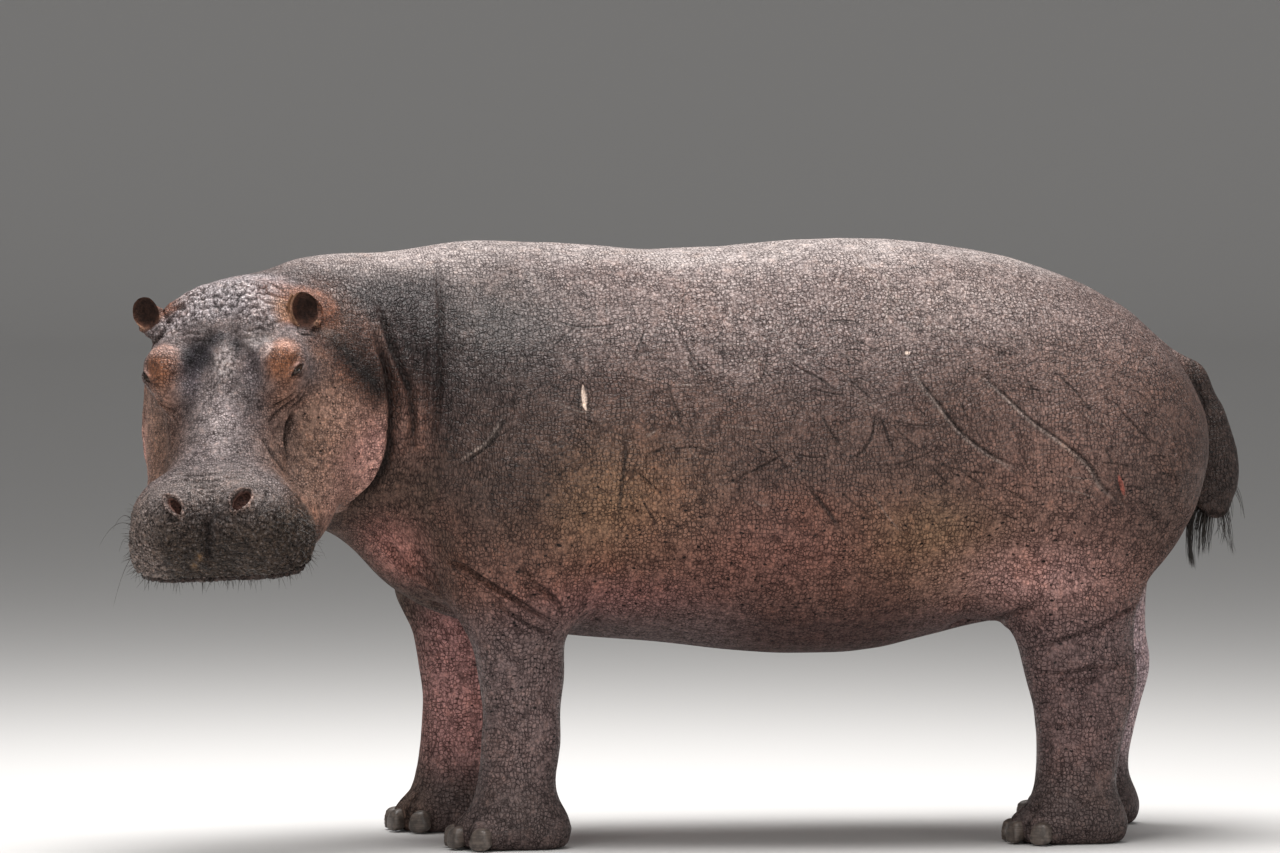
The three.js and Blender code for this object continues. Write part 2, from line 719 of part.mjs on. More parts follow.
function buildTrunk() {
  const inWorld = (solid) => solid.transform(headMatrix.elements);
  let neck = solidOfField(bodyField, [-420, -1800, 480], [820, -760, 1600], CELL.neck);
  neck = neck.intersect(beforeCollar(0)).subtract(inWorld(headPrism(HEAD_OUTLINE, GAP)));
  for (const leg of LEGS) neck = neck.subtract(legPrism(leg, GAP));
  hippo.add(meshOf("neck", neck, SKIN));

  let trunk = solidOfField(bodyField, [-640, -1300, 380], [640, 1200, 1620], CELL.trunk);
  trunk = trunk.subtract(beforeCollar(-GAP));
  for (const leg of LEGS) trunk = trunk.subtract(legPrism(leg, GAP));
  const tail = solidOfField(tailField, [-90, 760, 740], [90, 1170, 1320], CELL.tail);
  trunk = trunk.subtract(grown(tail, GAP));
  const tuft = solidOfField(tuftField, [-60, 980, 640], [60, 1120, 900], CELL.tuft);
  hippo.add(meshOf("trunk", trunk, SKIN));
  hippo.add(meshOf("tail", tail, SKIN));
  hippo.add(meshOf("tail_tuft", tuft.subtract(grown(tail, GAP)), HAIR));
}

// ---------------------------------------------------------------- legs, feet and nails

function between(low, high) {
  const reach = 3000;
  return boxSolid([-reach, -reach, low], [reach, reach, high]);
}

function buildLeg(leg) {
  const near = [leg.x > 0 ? 60 : -560, leg.y - 330];
  const far = [leg.x > 0 ? 560 : -60, leg.y + 310];
  const knee = leg.fore ? KNEE.fore : KNEE.hind;
  const wrist = leg.fore ? WRIST.fore : WRIST.hind;
  const upper = solidOfField(bodyField, [...near, 240], [...far, 1100], CELL.upper);
  const lower = solidOfField(bodyField, [...near, 60], [...far, 700], CELL.lower);
  let foot = solidOfField(bodyField, [...near, -60], [...far, 300], CELL.foot);
  const doorway = legPrism(leg, 0);
  const half = GAP / 2;
  const above = upper.intersect(doorway).intersect(between(knee + half, 1200));
  const below = lower.intersect(doorway).intersect(between(wrist + half, knee - half));
  hippo.add(meshOf(`${leg.name}_upper`, above, LEG_SKIN));
  hippo.add(meshOf(`${leg.name}_lower`, below, LEG_SKIN));
  foot = foot.intersect(between(0, wrist - half));
  toesOf(leg).forEach((toe, i) => {
    const x = toe.x + Math.sin(toe.angle) * NAIL.out;
    const y = toe.y - Math.cos(toe.angle) * NAIL.ahead;
    const nail = ball(1, 7, 4)
      .scale([NAIL.wide, NAIL.thick, NAIL.tall])
      .rotate([-NAIL.lean, 0, 0])
      .rotate([0, 0, THREE.MathUtils.radToDeg(toe.angle)])
      .translate([x, y, NAIL.up])
      .intersect(between(NAIL.low, WRIST.fore));
    hippo.add(meshOf(`${leg.foot}_nail_${i + 1}`, nail, NAIL_HORN));
    foot = foot.subtract(grown(nail, GAP));
  });
  hippo.add(meshOf(leg.foot, foot, LEG_SKIN));
}

buildHead();
buildTrunk();
LEGS.forEach(buildLeg);

// The part's origin is the middle of its bounding box's floor.
const bounds = new THREE.Box3().setFromObject(hippo, true);
const middle = bounds.getCenter(new THREE.Vector3());
hippo.position.set(-middle.x, -middle.y, -bounds.min.z);

export default hippo;
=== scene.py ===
# %% [markdown]
# # A life-size hippopotamus
# A common hippopotamus stands square with its head lowered and turned to its left.
# The plain solids of the body come from the construction file. This lesson dresses them:
# one continuous skin, folds and lids, eyes, nails, bristles, and a soft studio round it.
# Start by loading those solids. They stay where they are, and everything else is placed by them.

# %% Load the solids
import math

import bmesh
import bpy
import numpy as np
from mathutils import Matrix, Vector
from mathutils.bvhtree import BVHTree
from mathutils.kdtree import KDTree


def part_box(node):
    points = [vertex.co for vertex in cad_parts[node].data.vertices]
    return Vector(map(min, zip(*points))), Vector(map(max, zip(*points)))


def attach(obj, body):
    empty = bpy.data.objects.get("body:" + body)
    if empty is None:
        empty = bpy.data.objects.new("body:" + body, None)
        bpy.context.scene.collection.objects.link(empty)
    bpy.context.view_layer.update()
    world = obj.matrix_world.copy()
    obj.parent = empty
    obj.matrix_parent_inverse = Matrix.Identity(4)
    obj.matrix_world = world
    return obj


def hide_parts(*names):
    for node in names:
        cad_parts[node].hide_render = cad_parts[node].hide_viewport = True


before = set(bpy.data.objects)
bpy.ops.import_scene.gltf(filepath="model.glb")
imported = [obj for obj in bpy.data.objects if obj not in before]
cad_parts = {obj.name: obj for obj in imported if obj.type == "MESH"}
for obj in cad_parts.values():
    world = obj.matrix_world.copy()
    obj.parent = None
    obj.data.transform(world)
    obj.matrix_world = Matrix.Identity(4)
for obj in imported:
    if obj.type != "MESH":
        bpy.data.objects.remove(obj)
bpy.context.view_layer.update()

RANDOM = np.random.default_rng(7)

# %% [markdown]
# ## Two rulers
# Folds and lids are easier to describe from the animal's own places than from the room.
# The head gets a ruler of its own: u points forward along the face, v to the animal's left and
# w up out of the forehead, with zero a centimetre above the middle between the eyes. The
# body's ruler has x to the left of the spine, y towards the tail and z up. All numbers below
# are metres on one of these, apart from the strokes, which are in millimetres.

# %% The head's ruler and the body's ruler
YAW, PITCH, ROLL = (math.radians(a) for a in (73.3, 50, 4.9))
level = Matrix(((math.sin(YAW), math.cos(YAW), 0), (-math.cos(YAW), math.sin(YAW), 0), (0, 0, 1)))
turned = level @ Matrix.Rotation(PITCH, 3, "Y") @ Matrix.Rotation(ROLL, 3, "X")
HEAD_AXES = np.array(turned)
EYE = np.array((-0.005, 0.180, -0.010))
EYE_RADIUS = 0.024


def middle(node):
    low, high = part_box(node)
    return np.array((low + high) / 2)


between_eyes = (middle("eye_left") + middle("eye_right")) / 2
HEAD_AT = between_eyes - HEAD_AXES @ np.array((EYE[0], 0, EYE[2]))
BODY_AT = HEAD_AT - np.array((0.443, -1.494, 1.180))


def to_head(points):
    return (np.asarray(points) - HEAD_AT) @ HEAD_AXES


def from_head(points):
    return np.asarray(points) @ HEAD_AXES.T + HEAD_AT


def to_body(points):
    return np.asarray(points) - BODY_AT


def from_body(points):
    return np.asarray(points) + BODY_AT


print("head at", HEAD_AT.round(3), "body at", BODY_AT.round(3))

# %% [markdown]
# ## One skin
# A living skin has no seams, but the solids are separate pieces with hair-thin cuts between
# them. Swelling each piece by a millimetre closes the cuts. A voxel remesh then melts them into
# one even net of squares. Smoothing takes the flat facets away: many rounds on the huge barrel,
# few on the feet and the ears, which would melt like ice if they got as many.

# %% Join the flesh and remesh it
SKIN_CELL = 0.009
SWELL = 0.001
flesh = [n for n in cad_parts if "nail" not in n and n != "tail_tuft"]


def add(name, data):
    obj = bpy.data.objects.new(name, data)
    bpy.context.scene.collection.objects.link(obj)
    return obj


def welded(node):
    work = bmesh.new()
    work.from_mesh(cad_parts[node].data)
    bmesh.ops.remove_doubles(work, verts=work.verts, dist=1e-5)
    return work


def mesh_from(work, name):
    mesh = bpy.data.meshes.new(name)
    work.to_mesh(mesh)
    work.free()
    return mesh


joined = bmesh.new()
for node in flesh:
    part = welded(node)
    part.normal_update()
    for v in part.verts:
        v.co += v.normal * SWELL
    part_mesh = mesh_from(part, "part")
    joined.from_mesh(part_mesh)
    bpy.data.meshes.remove(part_mesh)
rough = add("rough", mesh_from(joined, "rough"))
melt = rough.modifiers.new("melt", "REMESH")
melt.mode = "VOXEL"
melt.voxel_size = SKIN_CELL
graph = bpy.context.evaluated_depsgraph_get()
net = bpy.data.meshes.new_from_object(rough.evaluated_get(graph))
bpy.data.objects.remove(rough)
print("net:", len(net.vertices), "points")

# %% [markdown]
# ### Keep the outside only
# Where two swollen pieces overlap, the remesh can leave a small closed bubble inside.
# The skin is the largest connected net, so the rest is thrown away.

# %% Keep the largest island
def arrays_of(mesh):
    points = np.empty(len(mesh.vertices) * 3)
    mesh.vertices.foreach_get("co", points)
    edges = np.empty(len(mesh.edges) * 2, dtype=np.int64)
    mesh.edges.foreach_get("vertices", edges)
    return points.reshape(-1, 3), edges.reshape(-1, 2)


def islands(count, edges):
    label = np.arange(count)
    while True:
        low = np.minimum(label[edges[:, 0]], label[edges[:, 1]])
        before = label.copy()
        np.minimum.at(label, edges[:, 0], low)
        np.minimum.at(label, edges[:, 1], low)
        label = label[label]
        if np.array_equal(before, label):
            return label


points, edges = arrays_of(net)
label = islands(len(points), edges)
keep = np.bincount(label).argmax()
if (label != keep).any():
    work = bmesh.new()
    work.from_mesh(net)
    work.verts.ensure_lookup_table()
    spare = [work.verts[i] for i in np.flatnonzero(label != keep)]
    bmesh.ops.delete(work, geom=spare, context="VERTS")
    work.to_mesh(net)
    work.free()
print("kept", len(net.vertices), "of", len(points))

# %% [markdown]
# ### Smooth by rounds
# In one round each point moves towards the middle of its neighbours. The number of rounds is
# given point by point, from where it lies on the animal, so that the barrel loses its facets
# while the toes, the lips and the rims of the ears keep their form.

# %% Smoothing with a count of rounds for each point
PULL = 0.6
ROUNDS = {"barrel": 110, "shoulder": 110, "head": 16, "leg": 24, "foot": 7, "tail": 14, "ear": 3}


def ramp(value, low, high):
    t = np.clip((value - low) / (high - low), 0, 1)
    return t * t * (3 - 2 * t)


def relax(points, edges, rounds):
    a, b = edges.T
    n = len(points)
    count = np.bincount(edges.ravel(), minlength=n)
    for i in range(int(np.ceil(rounds.max()))):
        pull = PULL * np.clip(rounds - i, 0, 1)
        for axis in range(3):
            c = points[:, axis]
            total = np.bincount(a, c[b], n) + np.bincount(b, c[a], n)
            points[:, axis] = c + pull * (total / count - c)
    return points


def rounds_for(points):
    body, head = to_body(points), to_head(points)
    rounds = np.full(len(points), float(ROUNDS["barrel"]))

    def settle(amount, part):
        rounds[:] += amount * (ROUNDS[part] - rounds)

    in_head = 1 - ramp(-head[:, 0], 0.22, 0.36)
    settle(in_head, "head")
    shoulder = np.exp(-(((body[:, 1] + 0.95) / 0.22) ** 2)) * (1 - in_head)
    rounds += ROUNDS["shoulder"] * shoulder * ramp(body[:, 2], 0.6, 0.8)
    settle(1 - ramp(body[:, 2], 0.42, 0.62), "leg")
    settle(1 - ramp(body[:, 2], 0.17, 0.27), "foot")
    settle(ramp(body[:, 1], 0.96, 1.02), "tail")
    for ear in ("ear_left", "ear_right"):
        settle(1 - ramp(np.linalg.norm(points - middle(ear), axis=1), 0.05, 0.09), "ear")
    return rounds


points, edges = arrays_of(net)
relax(points, edges, rounds_for(points))
net.vertices.foreach_set("co", points.ravel())

# %% [markdown]
# ## Folds and scars
# A fold is a groove along a line with a soft roll of skin beside it. Sculptors draw it with one
# stroke of a crease brush. The same stroke can be written down: a few places to pass through, a
# depth, a width, and how far the skin rolls up on either side. The places are millimetres on one
# of the two rulers. Each stroke is laid on the surface, so they need only be roughly right.

# %% Lay a line on the skin
def spline(places, step=0.004):
    p = np.asarray(places, dtype=float) / 1000
    p = np.vstack((2 * p[0] - p[1], p, 2 * p[-1] - p[-2]))
    run = []
    for a, b, c, d in zip(p, p[1:], p[2:], p[3:]):
        count = max(2, int(np.linalg.norm(c - b) / step))
        t = np.linspace(0, 1, count, endpoint=False)[:, None]
        run.append(b + 0.5 * t * (c - a + t * (2 * a - 5 * b + 4 * c - d + t * (3 * (b - c) + d - a))))
    return np.vstack(run + [p[-2:-1]])


def surface_of(mesh):
    points, _ = arrays_of(mesh)
    return BVHTree.FromPolygons(points.tolist(), [tuple(f.vertices) for f in mesh.polygons])


smooth_surface = surface_of(net)


def laid(strokes, ruler):
    done = []
    for places, depth, width, roll in strokes:
        line = [smooth_surface.find_nearest(Vector(p))[0] for p in ruler(spline(places))]
        done.append((np.array(line), depth / 1000, width / 1000, (roll[0] / 1000, roll[1] / 1000)))
    return done


def both_sides(strokes, axis):
    flip = np.ones(3)
    flip[axis] = -1
    return strokes + [((np.array(places) * flip), d, w, roll[::-1]) for places, d, w, roll in strokes]


# %% [markdown]
# ### Folds of the face and neck
# Between the brows two broad grooves meet in an upturned V. A deep fold parts the bridge of the
# nose from the cheek, wrinkles run forward from under the eye, and the cheek ends in a thick
# rolled edge that hides where the neck begins.

# %% Strokes on the head's ruler
brow_grooves = [
    ([(-96, 0, 52), (-86, 30, 48), (-47, 55, 37), (-5, 82, 12), (38, 92, 0)], 9, 13, (0, 0)),
    ([(-28, 150, 52), (-70, 118, 36), (-75, 92, 38), (-45, 80, 38)], 4, 10, (0, 0)),
]
face_folds = [
    ([(-86, 52, 48), (-90, 72, 46), (-97, 92, 43), (-91, 110, 38)], 3, 4, (1, 2)),
    ([(-139, 152, 28), (-119, 165, 22), (-104, 187, 8), (-118, 207, -10), (-160, 219, -22)],
     5, 5, (2, 1)),
    ([(-62, 26, 46), (-72, 54, 44), (-72, 78, 42)], 3, 5, (1, 1)),
    ([(47, 162, -87), (100, 148, -108), (142, 142, -126), (176, 152, -152)], 16, 8, (3, 8)),
    ([(34, 186, -40), (60, 158, -38), (84, 124, -38), (100, 98, -44)], 5, 3.6, (2.5, 3)),
    ([(26, 200, -52), (62, 172, -56), (96, 136, -56), (118, 112, -60)], 5.5, 4, (2.5, 3.5)),
    ([(20, 208, -66), (58, 186, -72), (92, 160, -76), (130, 134, -84)], 4.5, 4, (2.5, 3)),
    ([(66, 196, -96), (96, 172, -100), (132, 158, -112), (160, 160, -130)], 4, 4.5, (2.5, 3)),
    ([(150, 100, -62), (176, 112, -84), (200, 132, -110), (214, 150, -140)], 4, 7, (2.5, 3.5)),
    ([(255, 40, -29), (262, 70, -31), (290, 110, -38), (300, 150, -50)], 3, 5, (1, 2)),
    ([(270, 130, -42), (300, 172, -66), (316, 196, -100), (310, 205, -150)], 6, 9, (2, 4)),
    ([(322, 30, -14), (332, 60, -14), (336, 96, -18)], 2, 4, (1, 1)),
    ([(369, 4, -1), (370, 18, 0), (371, 32, 0)], 2.5, 3, (1, 1)),
]
neck_folds = [
    ([(-188, 322, -92), (-156, 350, -128), (-92, 370, -177), (-49, 373, -218), (0, 363, -274),
      (37, 345, -329), (66, 307, -377), (89, 257, -408), (97, 205, -440)], 24, 12, (0, 8)),
    ([(-292, 326, -90), (-245, 348, -103), (-180, 372, -134), (-133, 392, -171), (-95, 410, -212),
      (-47, 415, -259), (-1, 407, -306), (34, 391, -349)], 13, 10, (3, 5)),
]
muzzle_folds = [
    ([(330, -70, -16), (338, -10, -12), (330, 62, -12)], 3, 5, (1, 1)),
    ([(300, -96, -26), (316, -20, -15), (303, 66, -16)], 3, 5, (1, 1)),
    ([(352, -36, -8), (357, 6, -6), (352, 46, -6)], 2.5, 4, (1, 1)),
]
side_folds = [
    ([(350, 152, -24), (388, 150, -18), (432, 126, -20)], 3.5, 6, (1, 2)),
    ([(446, 14, -26), (460, 56, -46), (466, 104, -62)], 3.5, 6, (1, 1)),
    ([(470, 14, -70), (482, 60, -92), (480, 116, -112)], 3.5, 7, (1, 1)),
    ([(330, 198, -96), (380, 210, -112), (430, 196, -122)], 3.5, 7, (1, 1)),
    ([(322, 205, -150), (372, 216, -160), (430, 206, -172)], 3, 6, (1, 1)),
]
philtrum = [([(423, 12, -7), (462, 8, -50), (476, 0, -95), (474, -10, -150)], 10, 10, (2, 2))]
paired_folds = brow_grooves + face_folds + neck_folds + side_folds
face_strokes = laid(both_sides(paired_folds, 1) + muzzle_folds + philtrum, from_head)
print("face strokes:", len(face_strokes))

# %% [markdown]
# ### Folds of the body
# Skin gathers where a limb bends: four folds fan out from the armpit, creases circle the shanks,
# and fine upright folds mark where the neck meets the shoulder. Between two toes the skin dips
# in a short cleft, which is worked out from the places of the nails.

# %% Strokes on the body's ruler
body_folds = [
    ([(332, -938, 714), (384, -898, 701), (420, -847, 663), (436, -775, 620), (422, -711, 582),
      (391, -661, 558)], 12, 5.5, (4, 7)),
    ([(445, -764, 657), (438, -713, 650), (423, -674, 619), (393, -649, 580)], 9, 5, (3, 6)),
    ([(421, -829, 620), (429, -762, 570), (413, -710, 545), (386, -666, 537)], 7, 5, (3, 5)),
    ([(453, -765, 701), (449, -739, 676), (436, -713, 644), (419, -674, 606)], 5, 5, (2, 3)),
    ([(218, -1071, 765), (200, -1025, 702), (215, -970, 659), (248, -928, 614)], 10, 13, (2, 5)),
    ([(262, -1010, 760), (262, -960, 690), (262, -930, 630)], 5, 14, (0, 2)),
    ([(186, -939, 1445), (295, -943, 1353), (365, -949, 1257), (385, -954, 1159), (393, -965, 1061),
      (376, -978, 975)], 9, 8, (4, 4)),
    ([(350, -989, 1281), (371, -987, 1183), (383, -991, 1086), (367, -1001, 987)], 4, 6, (1, 1)),
    ([(368, -971, 1245), (379, -968, 1147), (387, -979, 1037)], 3, 4, (1, 1)),
    ([(298, -1010, 1354), (346, -1013, 1257), (371, -1014, 1159)], 3, 6, (1, 1)),
    ([(95, 422, 545), (250, 462, 560), (350, 480, 575), (411, 519, 597), (430, 560, 622)], 8, 9, (2, 4)),
    ([(373, 529, 489), (416, 587, 510), (430, 660, 535), (400, 747, 576), (330, 800, 600)], 6, 5.5, (2, 3)),
    ([(350, 530, 432), (404, 596, 428), (415, 675, 441), (376, 765, 438)], 5, 5, (2, 3)),
    ([(370, 545, 420), (404, 600, 410), (412, 660, 408), (400, 710, 412)], 4, 4.5, (1, 2)),
    ([(330, 520, 300), (372, 580, 292), (380, 660, 300)], 3, 6, (1, 2)),
    ([(340, -860, 330), (380, -800, 322), (380, -730, 330)], 3, 6, (1, 2)),
    ([(196, -825, 1444), (227, -785, 1426), (252, -701, 1410), (260, -628, 1407)], 3, 8, (1, 1)),
    ([(60, 905, 1245), (70, 960, 1190), (66, 1010, 1120), (60, 1030, 1040)], 5, 8, (1, 1)),
]


def toe_clefts():
    inward_and_up = ((0.0, -0.02), (0.12, 0.02), (0.40, 0.07))
    clefts = []
    for foot in ("forefoot_left", "forefoot_right", "hindfoot_left", "hindfoot_right"):
        nails = [middle(f"{foot}_nail_{i}") for i in range(1, 5)]
        inside = np.mean(nails, axis=0) + (0, 0.10, 0)
        for a, b in zip(nails, nails[1:]):
            out = (a + b) / 2
            run = [out + (inside - out) * t + (0, 0, z) for t, z in inward_and_up]
            clefts.append(([to_body(p) * 1000 for p in run], 7, 8, (1, 1)))
    return clefts


body_strokes = laid(both_sides(body_folds, 0) + toe_clefts(), from_body)
print("body strokes:", len(body_strokes))

# %% [markdown]
# ### Scars
# Hippopotamuses fight with their lower tusks, and their flanks carry long raked scars: a dark
# groove with a pale healed edge. The left flank's scars are written down one by one.

# %% Long scars and scratches on the left flank
long_scars = [
    ([(547, -73, 909), (547, -23, 847), (537, 10, 804), (533, 32, 785)], 4, 5),
    ([(485, 192, 1219), (512, 219, 1158), (528, 266, 1097), (534, 315, 1035), (531, 378, 986),
      (526, 435, 955), (521, 498, 936)], 3.2, 3.5),
    ([(481, 324, 1206), (494, 384, 1163), (501, 439, 1114), (510, 500, 1058), (512, 569, 1009),
      (511, 638, 953), (503, 677, 897), (493, 723, 859), (469, 771, 827)], 3, 3.5),
    ([(485, -516, 1038), (490, -507, 995), (487, -519, 885), (467, -528, 792)], 2.4, 4),
    ([(450, -795, 1078), (452, -820, 1029), (448, -857, 989), (421, -915, 949)], 3, 4),
    ([(537, 103, 1086), (546, 98, 1037), (550, 82, 1000), (553, 38, 952)], 2, 3),
]
scratches = [
    [(368, -685, 1311), (387, -620, 1291), (386, -558, 1290), (383, -492, 1299)],
    [(421, -680, 1239), (404, -647, 1266), (382, -607, 1296)],
    [(384, -436, 1302), (412, -456, 1262), (438, -481, 1208)],
    [(342, -408, 1347), (406, -368, 1280), (451, -337, 1214), (485, -293, 1159), (497, -270, 1135)],
    [(371, -357, 1323), (320, -334, 1371), (263, -304, 1413)],
    [(322, -533, 1359), (366, -539, 1314)],
    [(418, -314, 1274), (397, -276, 1307)],
    [(467, -405, 1165), (488, -389, 1105), (508, -367, 1038), (512, -352, 1029)],
    [(499, -462, 949), (498, -452, 977), (505, -401, 998)],
    [(531, -253, 922), (538, -195, 940), (542, -97, 995)],
    [(460, -149, 1238), (488, -163, 1183), (502, -180, 1147)],
    [(477, -118, 1214), (498, -71, 1183), (510, -30, 1159)],
    [(478, -80, 1220), (472, -24, 1238)],
    [(488, -683, 925), (488, -658, 941), (488, -655, 959)],
    [(446, -773, 679), (455, -759, 707)],
    [(338, -775, 1329), (351, -761, 1320), (365, -744, 1311)],
    [(538, 112, 1079), (546, 132, 1024), (551, 150, 969)],
    [(495, -77, 1189), (507, -35, 1165), (522, 12, 1129)],
    [(555, 94, 951), (553, 163, 954), (547, 238, 981), (541, 283, 1005)],
    [(454, 554, 1198), (473, 588, 1155), (478, 612, 1131), (494, 666, 1057)],
    [(470, 708, 1105), (481, 756, 1050), (460, 823, 987)],
    [(449, 850, 980), (437, 872, 912), (419, 891, 898)],
    [(478, 41, 1232), (504, 46, 1183)],
    [(528, -39, 1098), (542, -10, 1037), (550, 32, 976)],
    [(297, 205, 1424), (272, 253, 1433), (318, 283, 1403)],
    [(478, 487, 1168), (490, 504, 1132), (502, 502, 1095)],
    [(522, 317, 1103), (530, 341, 1054)],
    [(505, 680, 996), (505, 702, 952), (504, 686, 943)],
]

# %% [markdown]
# ### Healed scars
# An old scar heals over as a low pale ridge. It is the same stroke with the depth turned round.

# %% Low pale ridges
healed_scars = [
    [(252, 156, 1448), (324, 169, 1406), (376, 162, 1364), (428, 149, 1310), (461, 131, 1268)],
    [(377, 163, 1363), (399, 219, 1340)],
    [(436, 257, 1294), (444, 293, 1279), (451, 342, 1257)],
    [(97, 365, 1473), (200, 379, 1447), (292, 379, 1405)],
    [(255, 92, 1449), (317, 126, 1413), (369, 161, 1370)],
    [(419, 438, 1281), (430, 464, 1263), (429, 486, 1259)],
    [(494, -461, 1019), (496, -430, 1038)],
    [(283, -356, 1395), (264, -332, 1410)],
    [(471, -509, 1116), (475, -503, 1104), (479, -494, 1091)],
    [(374, -1008, 1116), (376, -1001, 1104)],
    [(427, -764, 1203), (425, -749, 1215)],
]

# %% [markdown]
# ### Scratches at random
# Between the long scars lie fine scratches by the dozen, and the right flank has its own. These
# are drawn at random from a fixed seed, so every run gives the same animal. Three wounds on the
# left flank are fresh: one long white graze, one white spot and one raw streak.

# %% Draw the fine scratches and lay every scar
def raked(count, side):
    drawn = []
    for _ in range(count):
        start = np.array((side * 520, RANDOM.uniform(-700, 850), RANDOM.uniform(850, 1380)))
        slant = RANDOM.uniform(-1.2, 1.2)
        step = np.array((0, math.cos(slant), -abs(math.sin(slant)))) * RANDOM.uniform(18, 75)
        bend = np.array((0, 0, RANDOM.uniform(-12, 12)))
        drawn.append([start, start + step + bend, start + 2 * step])
    return drawn


scar_strokes = laid([(p, d, w, (0.8, 1.2)) for p, d, w in long_scars], from_body)
scar_strokes += laid([(p, 2.0, 2.6, (0.6, 1.0)) for p in scratches + raked(26, -1)], from_body)
scar_strokes += laid([(p, 1.4, 2.0, (0.6, 0.9)) for p in raked(70, 1) + raked(24, -1)], from_body)
healed_strokes = laid([(p, -1.4, 3.0, (0, 0)) for p in healed_scars + raked(8, -1)], from_body)
healed_strokes += laid([(p, -1.0, 2.0, (0, 0)) for p in raked(22, 1)], from_body)
wounds = {
    "white": laid([([(451, -611, 1166), (460, -609, 1129), (468, -606, 1093), (474, -585, 1071)],
                    1.5, 5.5, (1, 1))], from_body),
    "white spot": laid([([(480, 190, 1228), (484, 191, 1222), (487, 192, 1216)], 1, 7, (1, 1))], from_body),
    "raw": laid([([(499, 714, 937), (495, 729, 890), (488, 739, 853)], 3, 4.5, (1, 2))], from_body),
}
print("scars:", len(scar_strokes) + len(healed_strokes))

# %% [markdown]
# ### A finer net where the small forms are
# Nine-millimetre squares carry the barrel, but not a scar or an eyelid. Squares are cut in four,
# and then in four again, along every stroke and over the whole head, and a third time round the
# eyes and nostrils. The flat parts stay coarse, so the model stays light.

# %% Cut the net finer
def refine(mesh, chosen):
    """Cuts in four the squares whose corners are all chosen."""
    work = bmesh.new()
    work.from_mesh(mesh)
    edges = [e for e in work.edges if chosen[e.verts[0].index] and chosen[e.verts[1].index]]
    bmesh.ops.subdivide_edges(work, edges=edges, cuts=1, use_grid_fill=True)
    work.to_mesh(mesh)
    work.free()


def tree_of(places):
    tree = KDTree(len(places))
    for i, p in enumerate(places):
        tree.insert(p, i)
    tree.balance()
    return tree


def near(points, places, reach):
    tree = tree_of(places)
    return np.array([tree.find(p)[2] for p in points.tolist()]) < reach


HEAD_BEGINS = -0.98
HEAD_HALF_WIDTH = 0.43


def on_head(places):
    head = to_head(places)
    ahead = to_body(places)[:, 1] < HEAD_BEGINS
    return ahead & (np.abs(head[:, 1]) < HEAD_HALF_WIDTH) & (head[:, 2] > -0.48) & (head[:, 0] > -0.27)


def on_side(place, side):
    return np.asarray(place) * (1, side, 1)


EYES = from_head([on_side(EYE, side) for side in (1, -1)])
EAR_TIPS = [middle("ear_left"), middle("ear_right")]
NOSES = from_head([(0.402, 0.098, 0.0), (0.409, -0.070, 0.0)])
every_line = [line for line, *_ in face_strokes + body_strokes + scar_strokes + healed_strokes]
every_line += [line for group in wounds.values() for line, *_ in group]
every_line = np.vstack(every_line)

points, edges = arrays_of(net)
refine(net, (to_body(points)[:, 1] < -1.0) | near(points, every_line, 0.020))
points, edges = arrays_of(net)
chosen = near(points, every_line, 0.009) | on_head(points)
chosen |= near(points, EAR_TIPS, 0.09)
refine(net, chosen)
points, edges = arrays_of(net)
refine(net, near(points, np.vstack((EYES, NOSES)), 0.042))
points, edges = arrays_of(net)
relax(points, edges, np.where(to_body(points)[:, 1] < -0.97, 5.0, 3.0))
net.vertices.foreach_set("co", points.ravel())
print("finer net:", len(net.vertices), "points")

skin = add("skin", net)
net.shade_smooth()
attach(skin, "root")
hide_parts(*[n for n in flesh if not n.startswith("eye")])

# %% [markdown]
# ### The crease brush
# Where a stroke presses, a number called shade is kept for each point, and the paint uses it later as
# painted shade at the bottom of the groove. The raised edge is kept too, as pale.

# %% The crease brush and the bulge brush
ROLL_AWAY = 2.1
ROLL_WIDTH = 1.2
points, edges = arrays_of(net)
shade = np.zeros(len(points))
pale = np.zeros(len(points))


def normals_of(mesh):
    normals = np.empty(len(mesh.vertices) * 3)
    mesh.vertex_normals.foreach_get("vector", normals)
    return normals.reshape(-1, 3)


def store():
    net.vertices.foreach_set("co", points.ravel())
    net.update()
    return normals_of(net)


def unit(v):
    v = np.asarray(v, dtype=float)
    return v / np.linalg.norm(v)


def reach_of(line, width):
    margin = 5 * width
    low, high = line.min(0) - margin, line.max(0) + margin
    inside = np.flatnonzero(((points > low) & (points < high)).all(axis=1))
    nearest = np.empty(len(inside), dtype=int)
    for start in range(0, len(inside), 4000):
        part = slice(start, start + 4000)
        apart = points[inside[part], None] - line[None]
        nearest[part] = (apart**2).sum(axis=2).argmin(axis=1)
    return inside, nearest


def crease(line, depth, width, roll, normals, fade=0.2, darkens=1.0):
    inside, nearest = reach_of(line, width)
    away = points[inside] - line[nearest]
    gap = np.linalg.norm(away, axis=1)
    along = nearest / (len(line) - 1)
    taper = ramp(along, -0.01, fade) * ramp(1 - along, -0.01, fade)
    side = np.einsum("ij,ij->i", np.cross(np.gradient(line, axis=0)[nearest], normals[inside]), away)
    valley = np.exp(-((gap / width) ** 2)) * taper
    ridge = np.exp(-(((gap - ROLL_AWAY * width) / (ROLL_WIDTH * width)) ** 2)) * taper
    lift = ridge * np.where(side > 0, roll[1], roll[0]) - depth * valley
    points[inside] += normals[inside] * lift[:, None]
    # Painted shade at the bottom of the groove.
    shade[inside] = np.maximum(shade[inside], valley * darkens)
    return inside, valley, ridge * (side > 0)


def bulge(centre, radii, height, normals):
    gap = np.linalg.norm((to_head(points) - centre) / radii, axis=1)
    points[:] += normals * (height * np.exp(-(gap**2)))[:, None]
